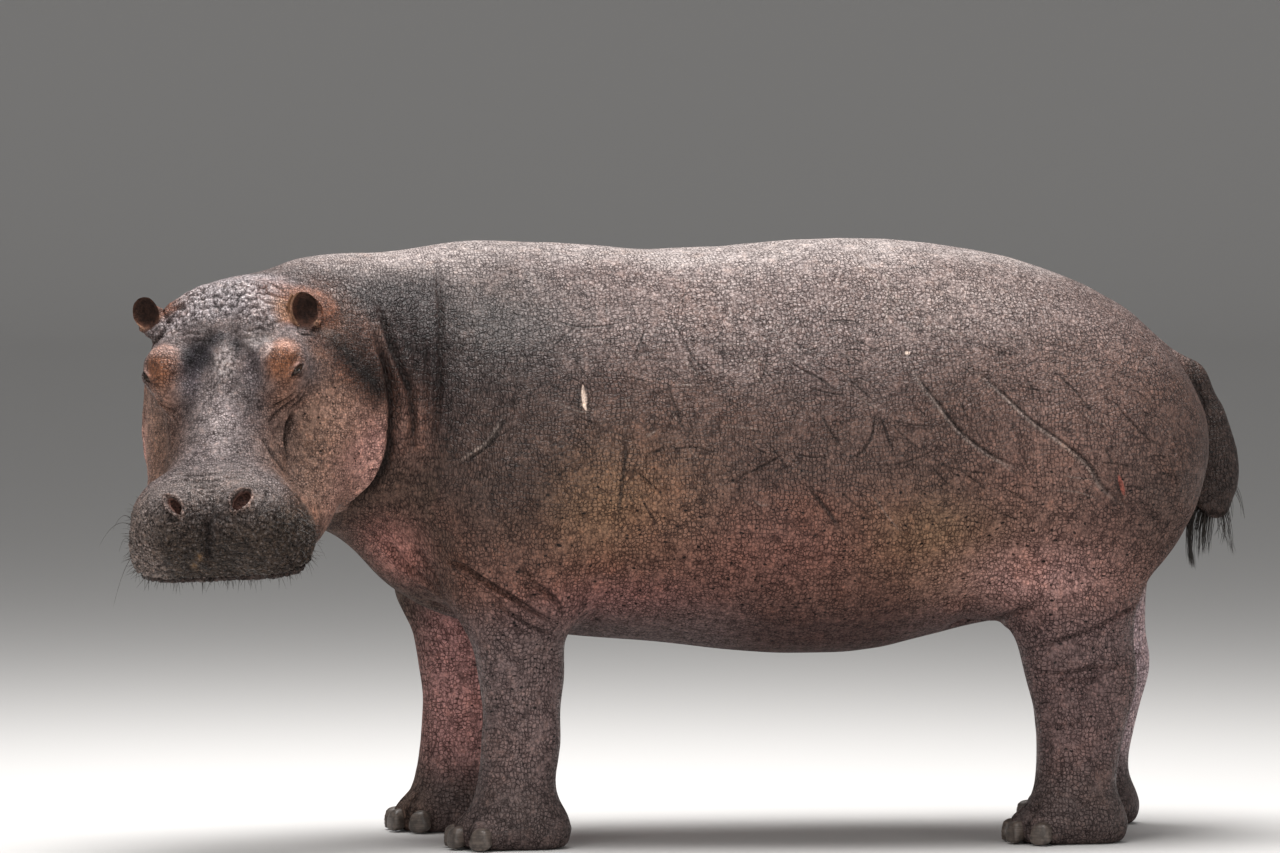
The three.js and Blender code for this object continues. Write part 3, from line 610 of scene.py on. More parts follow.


# %% [markdown]
# ### Sculpt the face
# The brow over each eye is a round dome, and the eye sits on its outer slope, so that a hippopotamus can
# look out of the water with the rest of its head under it. Of the strokes, the broad shallow ones get less
# painted shade than the others.

# %% Domes first, then the strokes
BROAD = 0.0095
SHALLOW = 0.01
normals = store()
for side in (1, -1):
    bulge((-0.014, side * 0.146, 0.030), (0.050, 0.044, 0.060), 0.019, normals)  # brow
    bulge((0.085, side * 0.205, -0.170), (0.075, 0.060, 0.080), 0.012, normals)  # front of cheek
    bulge((0.398, side * 0.088, 0.000), (0.048, 0.044, 0.050), 0.013, normals)  # nostril
    bulge((0.470, side * 0.105, -0.100), (0.080, 0.062, 0.080), 0.008, normals)  # front lobe
    bulge((0.060, side * 0.100, -0.020), (0.075, 0.026, 0.060), -0.009, normals)  # hollow by the nose
bulge((-0.040, 0.0, 0.040), (0.060, 0.052, 0.060), 0.007, normals)  # raised triangle
bulge((0.180, 0.0, -0.030), (0.160, 0.042, 0.060), 0.006, normals)  # bridge of the nose
normals = store()
# Each stroke leaves painted shade in its groove.
for line, depth, width, roll in face_strokes:
    broad = width > BROAD and depth < SHALLOW
    crease(line, depth, width, roll, normals, darkens=0.3 if broad else min(1, depth / 0.005))
normals = store()
print("face sculpted")

# %% [markdown]
# ### Eyelids
# An eyelid is skin stretched over the eyeball, so its shape is the eyeball's own, a little
# larger. Points near the eye are drawn on to that larger ball. Inside an almond between the two
# lids they sink behind the eyeball instead, and the eye shows. The eye looks out, forward and
# up, as in every animal that watches from the water's surface.

# %% Stretch the lids over the eyes
LID = 0.0034
ALMOND = {"half_length": 0.0172, "half_height": 0.0060}
UPPER_LID, LOWER_LID = 46, 62
UPPER_FURROW, LOWER_FURROW = 0.0165, -0.0115
GAZE = np.array((0.46, 0.52, 0.72))
SLIT = np.array((-0.80, 0.60, 0.08))


def eye_axes(side):
    gaze, slit = unit(on_side(GAZE, side)), on_side(SLIT, side)
    slit = unit(slit - gaze * (slit @ gaze))
    return gaze, slit, np.cross(gaze, slit) * side


def hump(value, centre, width):
    return np.exp(-(((value - centre) / width) ** 2))


lid_pale = np.zeros(len(points))
for side in (1, -1):
    gaze, slit, brow = eye_axes(side)
    away = to_head(points) - on_side(EYE, side)
    distance = np.linalg.norm(away, axis=1)
    close = distance < 0.060
    ray = away[close] / distance[close, None]
    angle = np.degrees(np.arccos(np.clip(ray @ gaze, -1, 1)))
    x, y = ray @ slit * EYE_RADIUS, ray @ brow * EYE_RADIUS
    lid_angle = np.where(y > 0, UPPER_LID, LOWER_LID)
    cover = 1 - ramp(angle, lid_angle - 24, lid_angle + 12)
    half = ALMOND["half_height"] * (1 - (x / ALMOND["half_length"]) ** 2)
    gap = np.abs(y) - half
    lump = np.exp(-(((y - 0.0095) / 0.0042) ** 2) - (((x - 0.006) / 0.014) ** 2))
    lid = EYE_RADIUS + LID + 0.0016 * hump(gap, 0.0022, 0.0020)
    lid += 0.0034 * lump - 0.0022 * hump(y, UPPER_FURROW, 0.0024)
    lid -= 0.0018 * hump(y, LOWER_FURROW, 0.0022)
    open_ = (1 - ramp(gap, -0.0010, 0.0006)) * (angle < 70)
    lid -= open_ * (LID + 0.006)
    new = distance[close] + cover * (lid - distance[close])
    points[close] = from_head(on_side(EYE, side) + ray * new[:, None])
    lips = hump(gap, 0, 0.0016) * (angle < 60)
    furrow = hump(y, UPPER_FURROW, 0.0020) + hump(y, LOWER_FURROW, 0.0020)
    # Painted shade along the edges of the lids and in the furrows above and below them.
    shade[close] = np.maximum(shade[close], np.maximum(lips, open_))
    shade[close] = np.maximum(shade[close], 0.5 * furrow * cover * (angle < 62))
    lid_pale[close] = lump * cover
normals = store()
print("lids stretched")

# %% [markdown]
# ### Nostrils
# Each nostril is a slanting leaf-shaped slot with a pale swollen rim, which the animal can shut
# under water. The two differ a little, as on a live animal. The points inside the leaf sink
# inwards, and those just outside it rise.

# %% Open the nostrils
NOSTRILS = (
    {"from": (0.372, 0.113, -0.003), "to": (0.431, 0.083, 0.0), "half": 0.0185, "deep": 0.024},
    {"from": (0.388, -0.089, 0.004), "to": (0.430, -0.052, -0.003), "half": 0.0140, "deep": 0.022},
)
NOSTRIL_RIM = 0.005
nostril_hole = np.zeros(len(points))
for slot in NOSTRILS:
    a, b = np.array(slot["from"]), np.array(slot["to"])
    place = to_head(points)
    line = b - a
    t = np.clip((place - a) @ line / np.linalg.norm(line) ** 2, 0, 1)
    foot = a + t[:, None] * line
    across = np.linalg.norm((place - foot)[:, :2], axis=1)
    half = slot["half"] * np.sqrt(np.clip(1 - (2 * t - 1) ** 2, 0.02, 1))
    beyond = across - half
    close = (np.abs(place[:, 2] - foot[:, 2]) < 0.04) & (beyond < 0.02)
    hole = (1 - ramp(beyond, -0.0045, 0.0015)) * close
    rim = hump(beyond, NOSTRIL_RIM, 0.0035) * close
    inward = np.array((-0.30, -0.18 * np.sign(a[1]), -0.93))
    place += hole[:, None] * slot["deep"] * inward
    place[:, 2] += NOSTRIL_RIM * rim
    points[:] = from_head(place)
    nostril_hole = np.maximum(nostril_hole, hole)
    pale = np.maximum(pale, 0.8 * rim)
print("nostrils open:", int((nostril_hole > 0.5).sum()), "points")

# %% [markdown]
# ### The closed mouth
# The mouth line dips under the lobes of the upper lip, climbs behind them and turns down at the
# corner. Both lips swell a little beside it.

# %% Draw the mouth line and the lips
MOUTH_PLACES = (0.06, 0.084, 0.130, 0.200, 0.290, 0.380, 0.452, 0.640)
MOUTH_HEIGHTS = (-0.330, -0.290, -0.228, -0.228, -0.262, -0.262, -0.206, -0.204)


def above_mouth(head):
    return head[:, 2] - np.interp(head[:, 0], MOUTH_PLACES, MOUTH_HEIGHTS)


normals = store()
place = to_head(points)
lip_gap = above_mouth(place)
in_muzzle = ramp(place[:, 0], 0.24, 0.34)
lip_line = hump(lip_gap, 0, 0.0045) * in_muzzle
upper_lip = hump(lip_gap, 0.014, 0.009) * in_muzzle
lower_lip = hump(lip_gap, -0.013, 0.008) * in_muzzle
points += normals * (0.003 * upper_lip + 0.005 * lower_lip - 0.011 * lip_line)[:, None]
# Painted shade along the mouth line.
shade[:] = np.maximum(shade, lip_line)
normals = store()
print("mouth drawn")

# %% [markdown]
# ### Ears
# A hippopotamus has small round cups for ears. At nine millimetres the net has only blurred
# them, so each ear is described exactly: a function gives the distance of any place from a ball
# and a stalk, melded, with a hollow pressed in.

# %% Describe a cupped ear by its distance
EAR = {"u": -0.140, "v": 0.180, "w": -0.022, "length": 0.124, "half": 0.049, "thick": 0.030, "tall": 1.22}
EARS = (
    {"side": 1, "raised": -0.012, "along": (-0.68, 0.14, 0.60), "opens": (0.55, 0.15, 0.75)},
    {"side": -1, "raised": 0.020, "along": (-0.6, -0.48, 0.52), "opens": (0.6, -0.15, 0.75)},
)


def ball(q, centre, radii):
    p = (q - centre) / radii
    k0 = np.linalg.norm(p, axis=1)
    k1 = np.linalg.norm(p / radii, axis=1) + 1e-9
    return k0 * (k0 - 1) / k1


def stalk(q, low, high, r_low, r_high):
    a, d = np.array(low), np.array(high) - np.array(low)
    t = np.clip((q - a) @ d / (d @ d), 0, 1)
    return np.linalg.norm(q - a - t[:, None] * d, axis=1) - (r_low + (r_high - r_low) * t)


def meld(a, b, k):
    h = np.maximum(k - np.abs(a - b), 0) / k
    return np.minimum(a, b) - h * h * k / 4


EAR_MIDDLE = EAR["length"] - EAR["tall"] * EAR["half"]


def ear_hollow(q):
    half, thick = EAR["half"], EAR["thick"]
    bowl = ball(q, (0, thick, EAR_MIDDLE - 0.001), (half * 0.86, thick * 1.60, half * 1.05))
    notch = ball(q, (0, thick * 1.1, EAR_MIDDLE - 0.034), (0.012, thick * 1.1, 0.030))
    return meld(bowl, notch, 0.010)


def ear_form(q):
    half, thick = EAR["half"] - SWELL, EAR["thick"] - SWELL
    cup = ball(q, (0, 0, EAR_MIDDLE), (half, thick, half * EAR["tall"]))
    stem = stalk(q, (0, -0.004, -0.022), (0, -0.002, EAR_MIDDLE * 0.7), 0.031, 0.025)
    return -meld(-meld(cup, stem, 0.018), ear_hollow(q), 0.003)


# %% [markdown]
# ### Slide the points on to the ear
# The distance says how far a point is from the ear's surface, and its slope says which way the surface
# lies. Ten short steps along the slope bring every point on to it. The masks for the hollow, the painted
# shade in its depth and its pale rim come from the same description.

# %% Slide the ears' points on to the cup
STEP = 1e-4
ear_inside, ear_depth_shade, ear_rim, ear_outside = (np.zeros(len(points)) for _ in range(4))
for ear in EARS:
    along = unit(ear["along"])
    opens = np.array(ear["opens"])
    opens = unit(opens - along * (opens @ along))
    axes = np.stack((np.cross(along, opens), opens, along), axis=1)
    root = np.array((EAR["u"], ear["side"] * EAR["v"], EAR["w"] + ear["raised"]))
    local = (to_head(points) - root) @ axes
    close = (np.linalg.norm(local - (0, 0, 0.06), axis=1) < 0.100) & (local[:, 2] > 0.004)
    q = local[close]
    hold = ramp(q[:, 2], 0.002, 0.018)
    for _ in range(10):
        d = ear_form(q)
        slope = np.stack([(ear_form(q + h) - d) / STEP for h in np.eye(3) * STEP], axis=1)
        steep = (slope**2).sum(axis=1) + 1e-6
        move = np.clip(d / steep, -0.004, 0.004) * hold
        q = q - slope * move[:, None]
    points[close] = from_head(q @ axes.T + root)
    ear_inside[close] = (1 - ramp(ear_hollow(q), -0.0005, 0.0020)) * ramp(q[:, 2], 0.006, 0.02)
    # Deeper in the hollow: painted shade.
    ear_depth_shade[close] = ear_inside[close] * (1 - ramp(q[:, 1], -0.012, 0.000))
    lip = ramp(ear_hollow(q), 0.0010, 0.0025) * ramp(q[:, 1], 0.002, 0.010)
    lip = np.maximum(lip, ear_inside[close] * ramp(q[:, 1], 0.001, 0.007))
    ear_rim[close] = lip * ramp(q[:, 2], 0.02, 0.04)
    ear_outside[close] = ramp(q[:, 2], 0.010, 0.034)
normals = store()
print("ears formed")

# %% [markdown]
# ### Fold and scar the body
# The same brush runs over the body's strokes, leaving painted shade in their grooves, and then over every
# scar. Of the scars only those about three millimetres deep keep a pale healed edge beside the groove.

# %% Press the body's strokes
DARKEST = 0.014
for line, depth, width, roll in body_strokes:
    crease(line, depth, width, roll, normals, darkens=min(0.50, depth / DARKEST))
normals = store()
print("body folded")

# %% Press the scars and the wounds
PALE_EDGED = (0.0029, 0.0039)
scar_dark = np.zeros(len(points))
scar_pale = np.zeros(len(points))
wound_mask = {}
for line, depth, width, roll in scar_strokes:
    inside, valley, ridge = crease(line, depth, width, roll, normals, fade=0.3, darkens=0)
    scar_dark[inside] = np.maximum(scar_dark[inside], valley)
    if PALE_EDGED[0] < depth < PALE_EDGED[1]:
        scar_pale[inside] = np.maximum(scar_pale[inside], ridge)
for line, depth, width, roll in healed_strokes:
    inside, valley, ridge = crease(line, depth, width, roll, normals, fade=0.3, darkens=0)
    scar_pale[inside] = np.maximum(scar_pale[inside], valley)
for name, strokes in wounds.items():
    wound_mask[name] = np.zeros(len(points))
    for line, depth, width, roll in strokes:
        inside, valley, ridge = crease(line, depth, width, roll, normals, fade=0.5, darkens=0)
        wound_mask[name][inside] = ramp(valley, 0.25, 0.45)
        scar_dark[inside] = np.maximum(scar_dark[inside], 0.8 * ridge)
normals = store()
print("scars and wounds pressed")

# %% [markdown]
# ### Uneven swells
# The whole skin gets what no fold explains: low uneven swells, made from smooth random values
# on a lattice. They are broad on the trunk and fine on the head, and they leave the ears and
# the eyes alone.

# %% Low swells on the trunk and the head
LATTICE = RANDOM.uniform(-1, 1, (32, 32, 32))


def swells(places, size, shift=0.0):
    p = places / size + shift
    cell = np.floor(p).astype(int)
    t = p - cell
    t = t * t * (3 - 2 * t)
    total = np.zeros(len(p))
    for corner in np.ndindex(2, 2, 2):
        weight = np.prod(np.where(corner, t, 1 - t), axis=1)
        total += weight * LATTICE[tuple(((cell + corner) % 32).T)]
    return total


head = to_head(points)
body = to_body(points)
in_head = ramp(head[:, 0], -0.34, -0.22) * on_head(points + HEAD_AXES[:, 0] * 0.07)
trunk = (1 - in_head) * ramp(body[:, 2], 0.45, 0.65)
lift = 0.0045 * trunk * swells(points, 0.17) + 0.0016 * trunk * swells(points, 0.060, 3.3)
calm = 1 - np.maximum(ear_outside, near(points, EYES, 0.040))
lift += in_head * calm * (0.0012 * swells(head, 0.030, 1.7) + 0.0006 * swells(head, 0.011, 5.1))

# %% [markdown]
# ### Wrinkles of the nose and cheek
# Fine wrinkles run across the bridge of the nose and round the muzzle, and down the cheek. Where
# the swells pass through zero, a thin line forms. Stretching the places first draws the lines
# out one way.

# %% Press fine wrinkles
nose = np.exp(-(((head[:, 0] - 0.22) / 0.13) ** 2) - ((head[:, 1] / 0.15) ** 2))
nose = nose * ramp(head[:, 2], -0.16, -0.08) * in_head
muzzle = ramp(head[:, 0] - 0.6 * np.clip(head[:, 2] + 0.05, -0.1, 0), 0.33, 0.42)
muzzle = muzzle * (1 - nostril_hole) * in_head
cheek = in_head * calm * ramp(np.abs(head[:, 1]), 0.13, 0.20) * (1 - ramp(head[:, 0], 0.22, 0.32))


def wrinkles(stretch, size, shift, sharp):
    return np.exp(-((swells(head / stretch, size, shift) / sharp) ** 2))


wrinkled = 0.9 * nose * wrinkles((1, 4.0, 1), 0.0095, 2.2, 0.14)
wrinkled = np.maximum(wrinkled, muzzle * wrinkles((1, 2.6, 1), 0.0105, 7.7, 0.15))
wrinkled = np.maximum(wrinkled, 0.55 * cheek * wrinkles((1, 1, 2.5), 0.0120, 9.1, 0.10))
lift += 0.0010 * nose * swells(head / (1, 3.5, 1), 0.0085, 4.2) + 0.0018 * muzzle * swells(head, 0.012, 6.1)
lift -= 0.0019 * wrinkled
# Painted shade in each wrinkle, more on the muzzle.
shade = np.maximum(shade, (0.45 + 0.25 * muzzle) * wrinkled)
print("wrinkled points:", int((wrinkled > 0.5).sum()))

# %% [markdown]
# ### Pebbles
# The poll, between the ears, is cobbled with low domes, the forehead and the muzzle with smaller ones.
# Their places are scattered one to a cell, and each point rises by the dome of its nearest place. What lies
# between the domes of the poll and the forehead gets painted shade, and the tops of the domes get a painted
# highlight, the muzzle's less.

# %% Cobble the poll, the forehead and the muzzle
PEBBLE_STRETCH = np.array((0.72, 1.0, 1.0))


def scatter(places, where, spacing):
    order = RANDOM.permutation(np.flatnonzero(where))
    taken = {}
    for i in order:
        cell = tuple(np.floor(places[i] / spacing).astype(int))
        if cell not in taken:
            taken[cell] = places[i]
    return np.array(list(taken.values()))


def pebbles(amount, spacing, radius, height):
    ground = head * PEBBLE_STRETCH
    places = scatter(ground, amount > 0.02, spacing)
    sizes = RANDOM.uniform(0.7, 1.15, len(places))
    tree = tree_of(places)
    chosen = np.flatnonzero(amount > 0.02)
    found = [tree.find(p)[1:] for p in ground[chosen].tolist()]
    which, gap = (np.array(list(v)) for v in zip(*found))
    dome = np.clip(1 - (gap / (radius * sizes[which])) ** 2, 0, 1)
    lift[chosen] += height * amount[chosen] * sizes[which] * dome
    between[chosen] = np.maximum(between[chosen], amount[chosen] * (1 - ramp(dome, 0.0, 0.35)))
    pebble_highlight[chosen] = np.maximum(pebble_highlight[chosen], amount[chosen] * ramp(dome, 0.55, 0.95))
    return len(places)


poll = ramp(head[:, 0], -0.266, -0.23)
poll *= 1 - ramp(head[:, 0] + 0.03 * swells(head, 0.05), -0.150, -0.085)
poll *= ramp(head[:, 2], -0.02, 0.03) * (1 - ramp(ear_outside, 0, 0.3)) * on_head(points)
forehead = np.exp(-((((head - (-0.008, 0.010, 0.020)) / (0.055, 0.030, 0.060)) ** 2).sum(axis=1) ** 2))
between, pebble_highlight = np.zeros(len(points)), np.zeros(len(points))
print("pebbles on the poll:", pebbles(poll, 0.0112, 0.0078, 0.0070))
print("pebbles on the forehead:", pebbles(0.8 * forehead * in_head, 0.0085, 0.0056, 0.0026))
# Painted shade between the domes of the poll and the forehead.
shade = np.maximum(shade, 0.85 * between)
poll_highlight = pebble_highlight.copy()
print("bumps on the muzzle:", pebbles(0.9 * muzzle, 0.0140, 0.0060, 0.0028))
pebble_highlight = np.maximum(poll_highlight, 0.35 * pebble_highlight)
points += normals * lift[:, None]

# %% [markdown]
# ### The tail's paddle
# The end of the tail is a flat paddle. It is drawn down to a point and made broader towards the
# front, and last of all nothing may reach below the floor.

# %% Shape the end of the tail
tail_end = (body[:, 1] > 0.98) & (np.abs(body[:, 0]) < 0.09) & (body[:, 2] < 0.98)
lowest = body[tail_end, 2].min()
tip = body[tail_end & (body[:, 2] < lowest + 0.006)].mean(axis=0)
apart = np.linalg.norm((body - tip)[:, :2], axis=1)
pointed = np.clip(1 - (apart / 0.045) ** 2, 0, 1) * (1 - ramp(body[:, 2], lowest + 0.01, lowest + 0.04))
points[:, 2] -= 0.016 * tail_end * pointed
paddle = hump(body[:, 2], lowest + 0.045, 0.045) * ramp(-normals[:, 1], 0.0, 0.6)
points[:, 1] -= 0.015 * tail_end * paddle
points[:, 2] = np.maximum(points[:, 2], 0.0)
normals = store()

# %% [markdown]
# ## The skin's colours
# A hippopotamus is slate grey above and purplish brown on the sides, rusty round the eyes and behind the
# ears, pink on the cheeks, in the armpits and in every fold that stays wet. Some patches here are painted
# light and shade as well: a pale sheen along the top, shade where the skin faces down and in hollows and
# creases, highlights on the face and light on the far hind leg. These are broad soft patches, so they are
# mixed here point by point, from named places on the two rulers, and stored on the mesh. The fine grain
# comes later, from the material.

# %% Helpers for mixing colours on the points
def mirrored(places, across):
    places = places.copy()
    places[:, across] = np.abs(places[:, across])
    return places


paint = np.empty((len(points), 3))
paint[:] = (0.126, 0.076, 0.062)
head, body = to_head(points), to_body(points)
mirrored_head, mirrored_body = mirrored(head, 1), mirrored(body, 0)
FIRM = 2


def wash(colour, amount):
    paint[:] = paint + np.clip(amount, 0, 1)[:, None] * (np.array(colour) - paint)


def patch(places, centre, radii, edge=1):
    gap = (places - np.array(centre)) / np.array(radii)
    return np.exp(-((gap**2).sum(axis=1) ** edge))


# %% [markdown]
# ### The trunk and the legs
# The first washes follow height: pale on the spine, partly the skin's own grey and partly a painted sheen
# of the light from above, and purplish below, with painted shade where the skin faces down. Then come
# patches, each a colour, a place on the body's ruler, three half widths and an amount.

# %% Paint the trunk from the spine down
height = body[:, 2]
length = body[:, 1]
uneven = 0.10 * swells(points, 0.21, 11.0) + 0.05 * swells(points, 0.08, 13.0)
wash((0.148, 0.101, 0.092), ramp(height + uneven, 1.08, 1.32))
# Pale along the spine: the skin's own grey with a painted sheen of the light from above.
wash((0.385, 0.338, 0.325), ramp(height + 0.5 * uneven, 1.38, 1.52))
wash((0.212, 0.103, 0.077), 1 - ramp(height + uneven, 0.66, 0.98))
wash((0.140, 0.071, 0.064), 1 - ramp(height + 0.4 * uneven, 0.50, 0.64))
# Darker where the skin faces down: painted shade.
wash((0.078, 0.046, 0.041), 0.65 * ramp(-normals[:, 2], 0.25, 0.80) * ramp(height, 0.40, 0.50))
body_patches = [
    ((0.320, 0.182, 0.098), (0.50, -0.58, 0.86), (0.30, 0.22, 0.13), 0.80),
    ((0.250, 0.148, 0.076), (0.52, 0.26, 0.77), (0.30, 0.20, 0.10), 0.75),
    ((0.280, 0.160, 0.088), (0.48, 0.34, 0.66), (0.30, 0.14, 0.07), 0.60),
    ((0.260, 0.130, 0.094), (0.52, 0.50, 0.90), (0.30, 0.17, 0.10), 0.65),
    ((0.460, 0.270, 0.250), (0.44, 0.52, 0.66), (0.30, 0.22, 0.10), 0.85),
    ((0.330, 0.152, 0.140), (0.44, -0.52, 0.60), (0.30, 0.22, 0.07), 0.75),
    ((0.240, 0.108, 0.090), (0.50, -0.10, 0.74), (0.30, 0.22, 0.10), 0.50),
    ((0.210, 0.128, 0.108), (0.48, 0.62, 1.00), (0.35, 0.26, 0.20), 0.70),
    ((0.080, 0.054, 0.046), (0.45, 0.86, 0.80), (0.35, 0.16, 0.16), 0.70),
    ((0.062, 0.047, 0.045), (0.38, -0.84, 1.20), (0.40, 0.24, 0.26), 0.90),
    ((0.074, 0.047, 0.039), (0.44, -0.80, 0.92), (0.35, 0.20, 0.20), 0.85),
    ((0.046, 0.036, 0.034), (0.34, -0.82, 1.30), (0.30, 0.18, 0.12), 0.90),
    # The last two are pale patches high on the back: grey skin with a painted sheen, as along the spine.
    ((0.400, 0.345, 0.330), (0.16, -1.00, 1.46), (0.20, 0.14, 0.07), 0.70),
    ((0.290, 0.230, 0.212), (0.35, 0.38, 1.37), (0.30, 0.22, 0.09), 0.55),
]
for colour, centre, radii, amount in body_patches:
    wash(colour, amount * patch(mirrored_body, centre, radii))

# %% Paint the legs and the tail
limb = 1 - ramp(height, 0.50, 0.66)
fore, hind = 1 - ramp(length, -0.30, -0.10), ramp(length, 0.15, 0.35)
wash((0.172, 0.120, 0.116), limb * fore * (body[:, 0] > 0) * ramp(length, -1.02, -0.94))
wash((0.460, 0.240, 0.226), limb * fore * (body[:, 0] < 0))
wash((0.168, 0.108, 0.104), limb * hind)
# The far hind leg is painted pale: a painted highlight of the light behind it.
wash((0.600, 0.450, 0.480), 0.9 * limb * hind * (body[:, 0] < 0))
wash((0.110, 0.080, 0.076), 1 - ramp(height, 0.10, 0.26))
wash((0.055, 0.037, 0.032), ramp(length, 0.955, 1.0) * (mirrored_body[:, 0] < 0.13))

# %% [markdown]
# ### The neck and the cheek
# The cheek is pink in front of the fold and the neck is nearly black behind it, so that edge
# follows the fold's own line: a table of places along it, from the throat up to the ear.

# %% Find the edge of the cheek and paint the neck
EDGE_W = (-0.460, -0.440, -0.408, -0.377, -0.329, -0.274, -0.218, -0.177, -0.128, -0.077, -0.04, 0.10)
EDGE_U = (0.120, 0.097, 0.089, 0.066, 0.037, 0.000, -0.049, -0.092, -0.156, -0.205, -0.26, -0.32)
HEAD_BOTTOM = -0.475
softness = np.interp(head[:, 2], (-0.19, -0.12), (0.004, 0.055))
past_edge = head[:, 0] - np.interp(head[:, 2], EDGE_W, EDGE_U)
before_fold = ramp(past_edge / softness, -0.8, 1.0)
above_throat = head[:, 2] > HEAD_BOTTOM
neck = 1 - before_fold * ramp(head[:, 0], -0.30, -0.22) * above_throat
neck *= 1 - ramp(length, -0.98, -0.86)
wash((0.020, 0.012, 0.012), 0.95 * neck * ramp(height, 0.86, 1.06) * (1 - ramp(height, 1.38, 1.47)))
wash((0.092, 0.058, 0.044), neck * (1 - ramp(height, 0.84, 1.06)))
wash((0.420, 0.195, 0.165), neck * patch(body, (0.21, -1.05, 0.72), (0.12, 0.09, 0.10)))
wash((0.290, 0.160, 0.125), 0.9 * neck * patch(mirrored_head, (-0.04, 0.40, -0.29), (0.10, 0.06, 0.07)))
inside_head = above_throat & (np.abs(head[:, 1]) < HEAD_HALF_WIDTH) & (length < HEAD_BEGINS)
face = before_fold * ramp(head[:, 0], -0.30, -0.20) * inside_head

# %% Paint the face on both sides alike
wash((0.190, 0.155, 0.154), face)
side_of_face = ramp(mirrored_head[:, 1], 0.125, 0.20) * (1 - ramp(head[:, 2], -0.11, -0.03)) * face
wash((0.300, 0.178, 0.134), side_of_face)
head_patches = [
    ((0.480, 0.290, 0.190), (0.060, 0.25, -0.19), (0.10, 0.10, 0.07), 0.6),
    ((0.790, 0.450, 0.390), (0.035, 0.30, -0.29), (0.10, 0.11, 0.11), 0.95),
    ((0.280, 0.160, 0.115), (0.057, 0.278, -0.200), (0.06, 0.06, 0.045), 0.6),
    ((0.290, 0.165, 0.120), (-0.080, 0.225, -0.040), (0.035, 0.040, 0.04), 0.8),
    ((0.560, 0.330, 0.270), (0.160, 0.245, -0.300), (0.09, 0.07, 0.05), 0.85),
    ((0.300, 0.150, 0.100), (-0.110, 0.300, -0.120), (0.06, 0.08, 0.05), 0.6),
    ((0.330, 0.170, 0.115), (0.060, 0.150, -0.035), (0.060, 0.050, 0.05), 0.9),
    ((0.260, 0.160, 0.130), (0.130, 0.130, -0.080), (0.080, 0.050, 0.05), 0.8),
    ((0.210, 0.130, 0.098), (0.200, 0.160, -0.110), (0.090, 0.060, 0.09), 0.9),
    # Dark in the hollow beside the nose: painted shade.
    ((0.110, 0.090, 0.094), (0.070, 0.085, -0.030), (0.060, 0.030, 0.05), 0.6),
    # Pale bridge of the nose: a painted sheen.
    ((0.460, 0.395, 0.390), (0.120, 0.000, -0.030), (0.075, 0.046, 0.06), 0.85),
    ((0.190, 0.112, 0.082), (0.110, 0.200, -0.140), (0.070, 0.060, 0.07), 0.7),
    ((0.200, 0.150, 0.140), (-0.070, 0.150, 0.035), (0.020, 0.045, 0.04), 0.6),
]
for colour, centre, radii, amount in head_patches:
    wash(colour, amount * face * patch(mirrored_head, centre, radii))

# %% [markdown]
# ### Brows and poll
# The top of the head is blotched unevenly. The brow domes are rusty brown. The dark hollows beside the
# raised middle are painted shadow, broad on the animal's right and a narrow line on its left; the pale
# spots beside the left groove, on the dome tops and on the raised middle are painted highlights. These
# patches have a firmer edge, and each side has its own.

# %% Paint the brows and the poll
brow_spots = [
    # A painted highlight beside the left groove, then slate grey beside the bridge on each side.
    ((0.400, 0.360, 0.355), (-0.066, 0.088, 0.040), (0.026, 0.040, 0.05), 0.75),
    ((0.170, 0.140, 0.150), (0.004, 0.080, 0.010), (0.060, 0.024, 0.05), 0.60),
    ((0.110, 0.090, 0.105), (0.010, -0.078, 0.012), (0.062, 0.030, 0.05), 0.80),
    # Painted shadow in the hollows: broad on the right, a narrow line on the left.
    ((0.018, 0.015, 0.022), (-0.036, -0.060, 0.028), (0.048, 0.046, 0.06), 0.95),
    ((0.022, 0.018, 0.022), (-0.070, -0.014, 0.045), (0.020, 0.034, 0.04), 0.93),
    ((0.030, 0.024, 0.028), (-0.052, 0.034, 0.040), (0.024, 0.016, 0.04), 0.90),
    # A painted highlight on the raised middle.
    ((0.480, 0.420, 0.410), (-0.012, 0.010, 0.020), (0.046, 0.026, 0.05), 0.80),
    # The rusty brown of the two domes.
    ((0.275, 0.106, 0.047), (-0.004, 0.158, 0.025), (0.060, 0.046, 0.06), 0.95),
    ((0.275, 0.106, 0.047), (-0.004, -0.152, 0.025), (0.060, 0.044, 0.06), 0.95),
    # Painted highlights on the dome tops.
    ((0.520, 0.300, 0.230), (-0.048, 0.160, 0.040), (0.022, 0.034, 0.04), 0.70),
    ((0.560, 0.370, 0.310), (-0.046, -0.150, 0.040), (0.022, 0.036, 0.04), 0.70),
    ((0.640, 0.500, 0.460), (-0.036, 0.116, 0.036), (0.022, 0.018, 0.04), 0.80),
]
for colour, centre, radii, amount in brow_spots:
    wash(colour, amount * face * patch(head, centre, radii, FIRM))
back = -head[:, 0]
grey_poll = ramp(head[:, 2], -0.03, 0.02) * ramp(back, 0.10, 0.15) * (1 - ramp(back, 0.22, 0.40))
# The poll's own slate grey, painted paler with a sheen of the light from above.
wash((0.390, 0.350, 0.365), 0.85 * grey_poll)

# %% [markdown]
# ### Wet streaks
# From behind each ear a black streak runs down the cheek with a wider brown edge, and a dark
# brown band runs beside it on the neck. Both follow a line, and fade with the distance from it.
# The skin behind the ears is blotched with rust, and the poll has one rusty spot.

# %% Paint the streaks and the rust behind the ears
def gap_to(line, within):
    gap = np.ones(len(points))
    close = np.flatnonzero(np.linalg.norm(mirrored_head - line.mean(axis=0), axis=1) < within)
    ways = [np.linalg.norm(mirrored_head[close] - p, axis=1) for p in line[::3]]
    gap[close] = np.min(ways, axis=0)
    return gap


